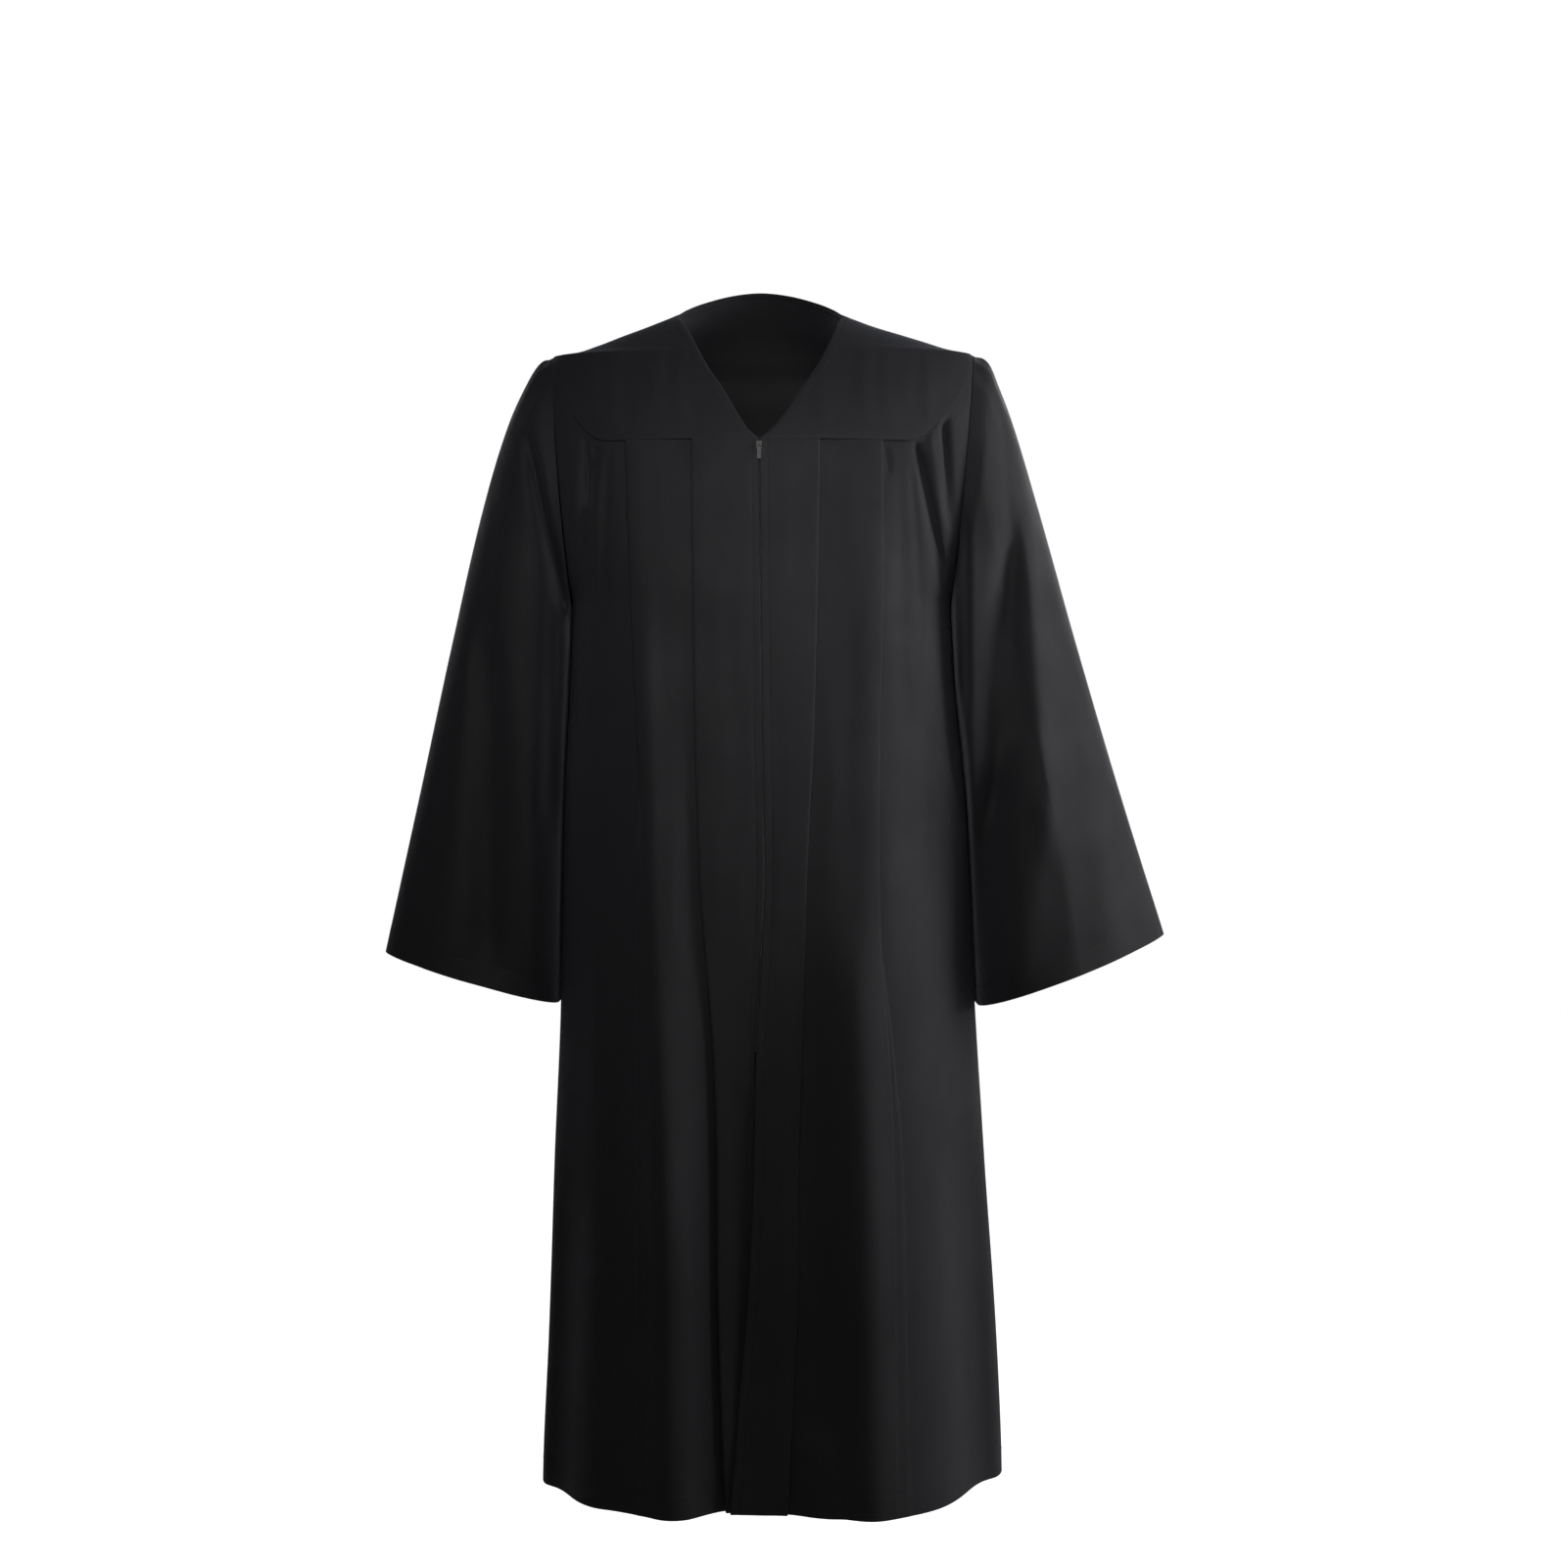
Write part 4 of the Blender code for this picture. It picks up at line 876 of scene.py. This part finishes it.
def along_line(line, other, step):
    """Points at even steps along a line, with another set of values taken with them."""
    run = np.concatenate(([0.0], np.cumsum(np.linalg.norm(np.diff(line, axis=0), axis=1))))
    count = max(int(run[-1] / step), 2)
    at = (np.arange(count) + 0.5) * run[-1] / count
    return [np.stack([np.interp(at, run, values[:, k]) for k in range(3)], axis=1)
            for values in (line, other)]


def add_stitches(name, line, ways):
    """A row of short stitches along points on the cloth, with its normals there."""
    points, faces = [], []
    # Where along the stitch, how thick, how high
    profile = ((-1.0, 0.25, -0.6), (-0.55, 0.9, 0.3), (0.0, 1.0, 0.55), (0.55, 0.9, 0.3),
               (1.0, 0.25, -0.6))
    sides = 6
    places, ways = along_line(line, ways, STITCH)
    ways = unit(ways)
    along = unit(np.gradient(places, axis=0))
    sideways = np.cross(along, ways)
    for place, way, forward, side in zip(places, ways, along, sideways):
        first = len(points)
        for reach, girth, lift in profile:
            middle = (place + forward * reach * STITCH_LENGTH / 2
                      + way * (WALL / 2 + lift * THREAD_HALF))
            for k in range(sides):
                turn = 2 * math.pi * k / sides
                points.append(middle + THREAD_HALF * girth
                              * (side * math.cos(turn) + way * math.sin(turn)))
        faces += tube_faces(first, len(profile), sides)
    return new_object(name, points, faces, THREAD, "cloth")


def row_at(surface, rise):
    """Line across a piece at a distance above its lower edge, with its normals."""
    grid, normal = surface
    up = np.cumsum(np.linalg.norm(np.diff(grid[:, ::-1], axis=1), axis=2).mean(axis=0))
    row = grid.shape[1] - 2 - int(np.argmin(np.abs(up - rise)))
    return grid[:, row], normal[:, row]


# Zip

TAPE_START = 2.0 * MM     # above the yoke seam
COIL_START = 5.0 * MM     # below it
COIL_PITCH = 1.25 * MM
COIL_WIRE = 0.27 * MM     # half the nylon wire's thickness
COIL_BACK = 0.45 * MM     # the coil behind the cloth's surface
# Sections, in mm right of the zip and behind the cloth
TAPE_FACE = ((-10.0, 1.3), (-4.0, 1.3), (-1.8, 1.3), (-1.2, 0.9), (-0.9, 1.3), (-0.9, 2.0),
             (0.9, 2.0), (0.9, 1.3), (1.2, 0.9), (1.8, 1.3), (4.0, 1.3), (10.0, 1.3))
TAPE_DEEP = 0.7
COIL_LOOP = ((-1.5, 0.5), (-0.9, -0.05), (0.1, -0.3), (0.7, -0.1), (0.75, 0.35), (0.2, 0.6),
             (-0.9, 0.7), (-1.5, 0.9))


def zip_line(height):
    """Middle of the zip at a height: how far right, and the depth of the cloth there."""
    left, right = (FRONT_PLEATS[side]("edge", height) for side in SIDES)
    back = max(float(FRONT_PLEATS[side]("edge_back", height)) for side in SIDES)
    x = (right - left) / 2
    return float(x), float(surface_y("front", "right", abs(x), height, back))


def add_tape():
    """Two tapes behind the fronts' edges, with their piping towards the chain."""
    heights = np.linspace(YOKE_SEAM + TAPE_START, ZIP_END, 160)
    middle = np.array([zip_line(height) for height in heights])
    inside = tuple((across, back + TAPE_DEEP) for across, back in reversed(TAPE_FACE))
    ring = np.array(TAPE_FACE + inside) * MM
    points = [(x + across, y + back, height)
              for (x, y), height in zip(middle, heights) for across, back in ring]
    faces = tube_faces(0, len(heights), len(ring))
    tape = new_object("zip_tapes", points, faces, TAPE, "tape")
    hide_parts("zip_tape")


def add_coil():
    """The chain: nylon loops from each side that lock into each other."""
    points, faces = [], []
    sides, last = 5, len(COIL_LOOP) - 1
    height = YOKE_SEAM - COIL_START
    for k in range(int((height - ZIP_END) / COIL_PITCH)):
        z = height - k * COIL_PITCH
        x, y = zip_line(z)
        for way in (1, -1):
            first = len(points)
            for index, (across, back) in enumerate(COIL_LOOP):
                drop = (0.25 * math.cos(index / last * math.pi) + 0.5 * (way < 0)) * COIL_PITCH
                before, after = COIL_LOOP[max(index - 1, 0)], COIL_LOOP[min(index + 1, last)]
                dx, dy = after[0] - before[0], after[1] - before[1]
                long = math.hypot(dx, dy)
                for s in range(sides):
                    turn = 2 * math.pi * s / sides
                    off = COIL_WIRE * math.cos(turn)
                    points.append((x + way * (across * MM + off * -dy / long),
                                   y + COIL_BACK + back * MM + off * dx / long,
                                   z + drop + COIL_WIRE * math.sin(turn)))
            quads = tube_faces(first, len(COIL_LOOP), sides)
            faces += quads if way > 0 else [quad[::-1] for quad in quads]
    new_object("zip_coil", points, faces, NYLON, "tape")


# Pieces

UP = np.array((0.0, 0.0, 1.0))
BODY_OVAL = np.array((0.23, 0.15, 1.0))


def body_ways(grid):
    """Ways out of the body at each point, as on an oval section."""
    return unit(grid / BODY_OVAL ** 2 * (1.0 - UP))


for side in SIDES:
    grid = half_panel("front", side)
    ways = body_ways(grid)
    add_cloth("front_" + side, grid, (("hem", ZIP_FOLD), SEAM, SEAM, ("hem", HEM_FOLD)), ways,
              inward=-ways)
    grid = front_yoke(side)
    add_cloth("yoke_front_" + side, grid, (("hem", V_FOLD), SEAM, SEAM, SEAM),
              body_ways(grid) + UP)
    grid = sleeve(side)
    ways = grid - grid.mean(axis=0, keepdims=True)
    add_cloth("sleeve_" + side, grid, (None, None, SEAM, ("hem", CUFF_FOLD)), ways, closed=True)

left, right = (half_panel("back", side) for side in SIDES)
grid = np.concatenate((left[:0:-1], right))
ways = body_ways(grid)
add_cloth("back", grid, (SEAM, SEAM, SEAM, ("hem", HEM_FOLD)), ways, inward=-ways)
grid = back_yoke()
add_cloth("yoke_back", grid, (SEAM, SEAM, ("hem", NECK_FOLD), SEAM), body_ways(grid) + UP)

sewing = {name: [] for name in pieces}
for name in ("front_left", "front_right", "back"):
    line, ways = row_at(surfaces[name], HEM_SEWING)
    sewing[name].append(add_stitches("hem_stitching_" + name, line, ways))
for side in SIDES:
    line, ways = row_at(surfaces["sleeve_" + side], CUFF_SEWING)
    line, ways = (np.concatenate((values, values[:1])) for values in (line, ways))
    sewing["sleeve_" + side].append(add_stitches("cuff_stitching_" + side, line, ways))
    for title, cloth, column in SEWN_COLUMNS:
        line, ways = (values[column] for values in surfaces[cloth + side])
        sewing[cloth + side].append(add_stitches(title + "_stitching_" + side, line, ways))
add_tape()
add_coil()

for name in ("zip_slider", "zip_pull"):
    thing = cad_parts[name]
    thing.data.materials.clear()
    thing.data.materials.append(METAL)

# Floor, light and camera
FLOOR_HEIGHT = -1.40
FLOOR_REACH = 9.0
GOWN_MIDDLE = (0, 0, -0.55)
AMBIENT = 0.01            # light from all around; the plain white that shows adds none


def make_floor():
    """Material of the pale floor."""
    material, tree, shader = start_material("pale_floor")
    shader.inputs["Base Color"].default_value = (0.4, 0.4, 0.4, 1.0)
    shader.inputs["Roughness"].default_value = 0.9
    shader.inputs["Specular IOR Level"].default_value = 0.1
    shader.inputs["Emission Color"].default_value = (1.0, 1.0, 1.0, 1.0)
    seen = node(tree, "LightPath").outputs["Is Camera Ray"]
    tree.links.new(seen, shader.inputs["Emission Strength"])
    return material


floor = bpy.data.objects.new("floor", bpy.data.meshes.new("floor"))
corners = [(x * FLOOR_REACH, y * FLOOR_REACH, FLOOR_HEIGHT)
           for x, y in ((-1, -1), (1, -1), (1, 1), (-1, 1))]
floor.data.from_pydata(corners, [], [(0, 1, 2, 3)])
floor.data.materials.append(make_floor())
bpy.context.collection.objects.link(floor)


def add_area(name, place, aim, size, watts):
    """A soft light that the camera doesn't see."""
    light = bpy.data.lights.new(name, "AREA")
    light.shape = "RECTANGLE"
    light.size, light.size_y = size
    light.energy = watts
    lamp = bpy.data.objects.new(name, light)
    lamp.location = place
    lamp.visible_camera = False
    lamp.rotation_euler = (Vector(aim) - Vector(place)).to_track_quat("-Z", "Y").to_euler()
    bpy.context.collection.objects.link(lamp)


add_area("key", (1.6, -0.2, 0.1), GOWN_MIDDLE, (0.6, 1.2), 16)
add_area("key_low", (2.2, -0.4, -0.2), GOWN_MIDDLE, (0.8, 1.4), 12)
add_area("key_front", (1.5, -0.7, 0.1), GOWN_MIDDLE, (0.6, 1.0), 4)
add_area("front", (0.0, -0.85, -0.04), (0, 0, -0.34), (0.3, 0.3), 4.2)
add_area("left", (-2.2, -0.8, 0.4), GOWN_MIDDLE, (1.2, 1.6), 2.2)
add_area("back_right", (1.6, 3.0, 0.5), GOWN_MIDDLE, (1.4, 1.6), 40)
add_area("back_left", (-1.6, 2.6, 0.3), GOWN_MIDDLE, (1.4, 1.6), 12)

world = bpy.data.worlds.new("studio")
world.use_nodes = True
tree = world.node_tree
seen = node(tree, "LightPath").outputs["Is Camera Ray"]
level = math_node(tree, "MULTIPLY_ADD", seen, 1.0 - AMBIENT, AMBIENT)
tree.nodes["Background"].inputs["Color"].default_value = (1.0, 1.0, 1.0, 1.0)
tree.links.new(level, tree.nodes["Background"].inputs["Strength"])
bpy.context.scene.world = world
bpy.context.scene.view_settings.view_transform = "Standard"

FOCAL_PIXELS, IMAGE_PIXELS = 2419, 1601
SENSOR = 36.0             # mm
CAMERA_PLACE = (0.0263, -2.6, -0.507)
camera = bpy.data.objects.new("camera", bpy.data.cameras.new("camera"))
camera.data.sensor_width = SENSOR
camera.data.lens = FOCAL_PIXELS / IMAGE_PIXELS * SENSOR
camera.location = CAMERA_PLACE
camera.rotation_euler = (math.pi / 2, 0, 0)
bpy.context.collection.objects.link(camera)
bpy.context.scene.camera = camera
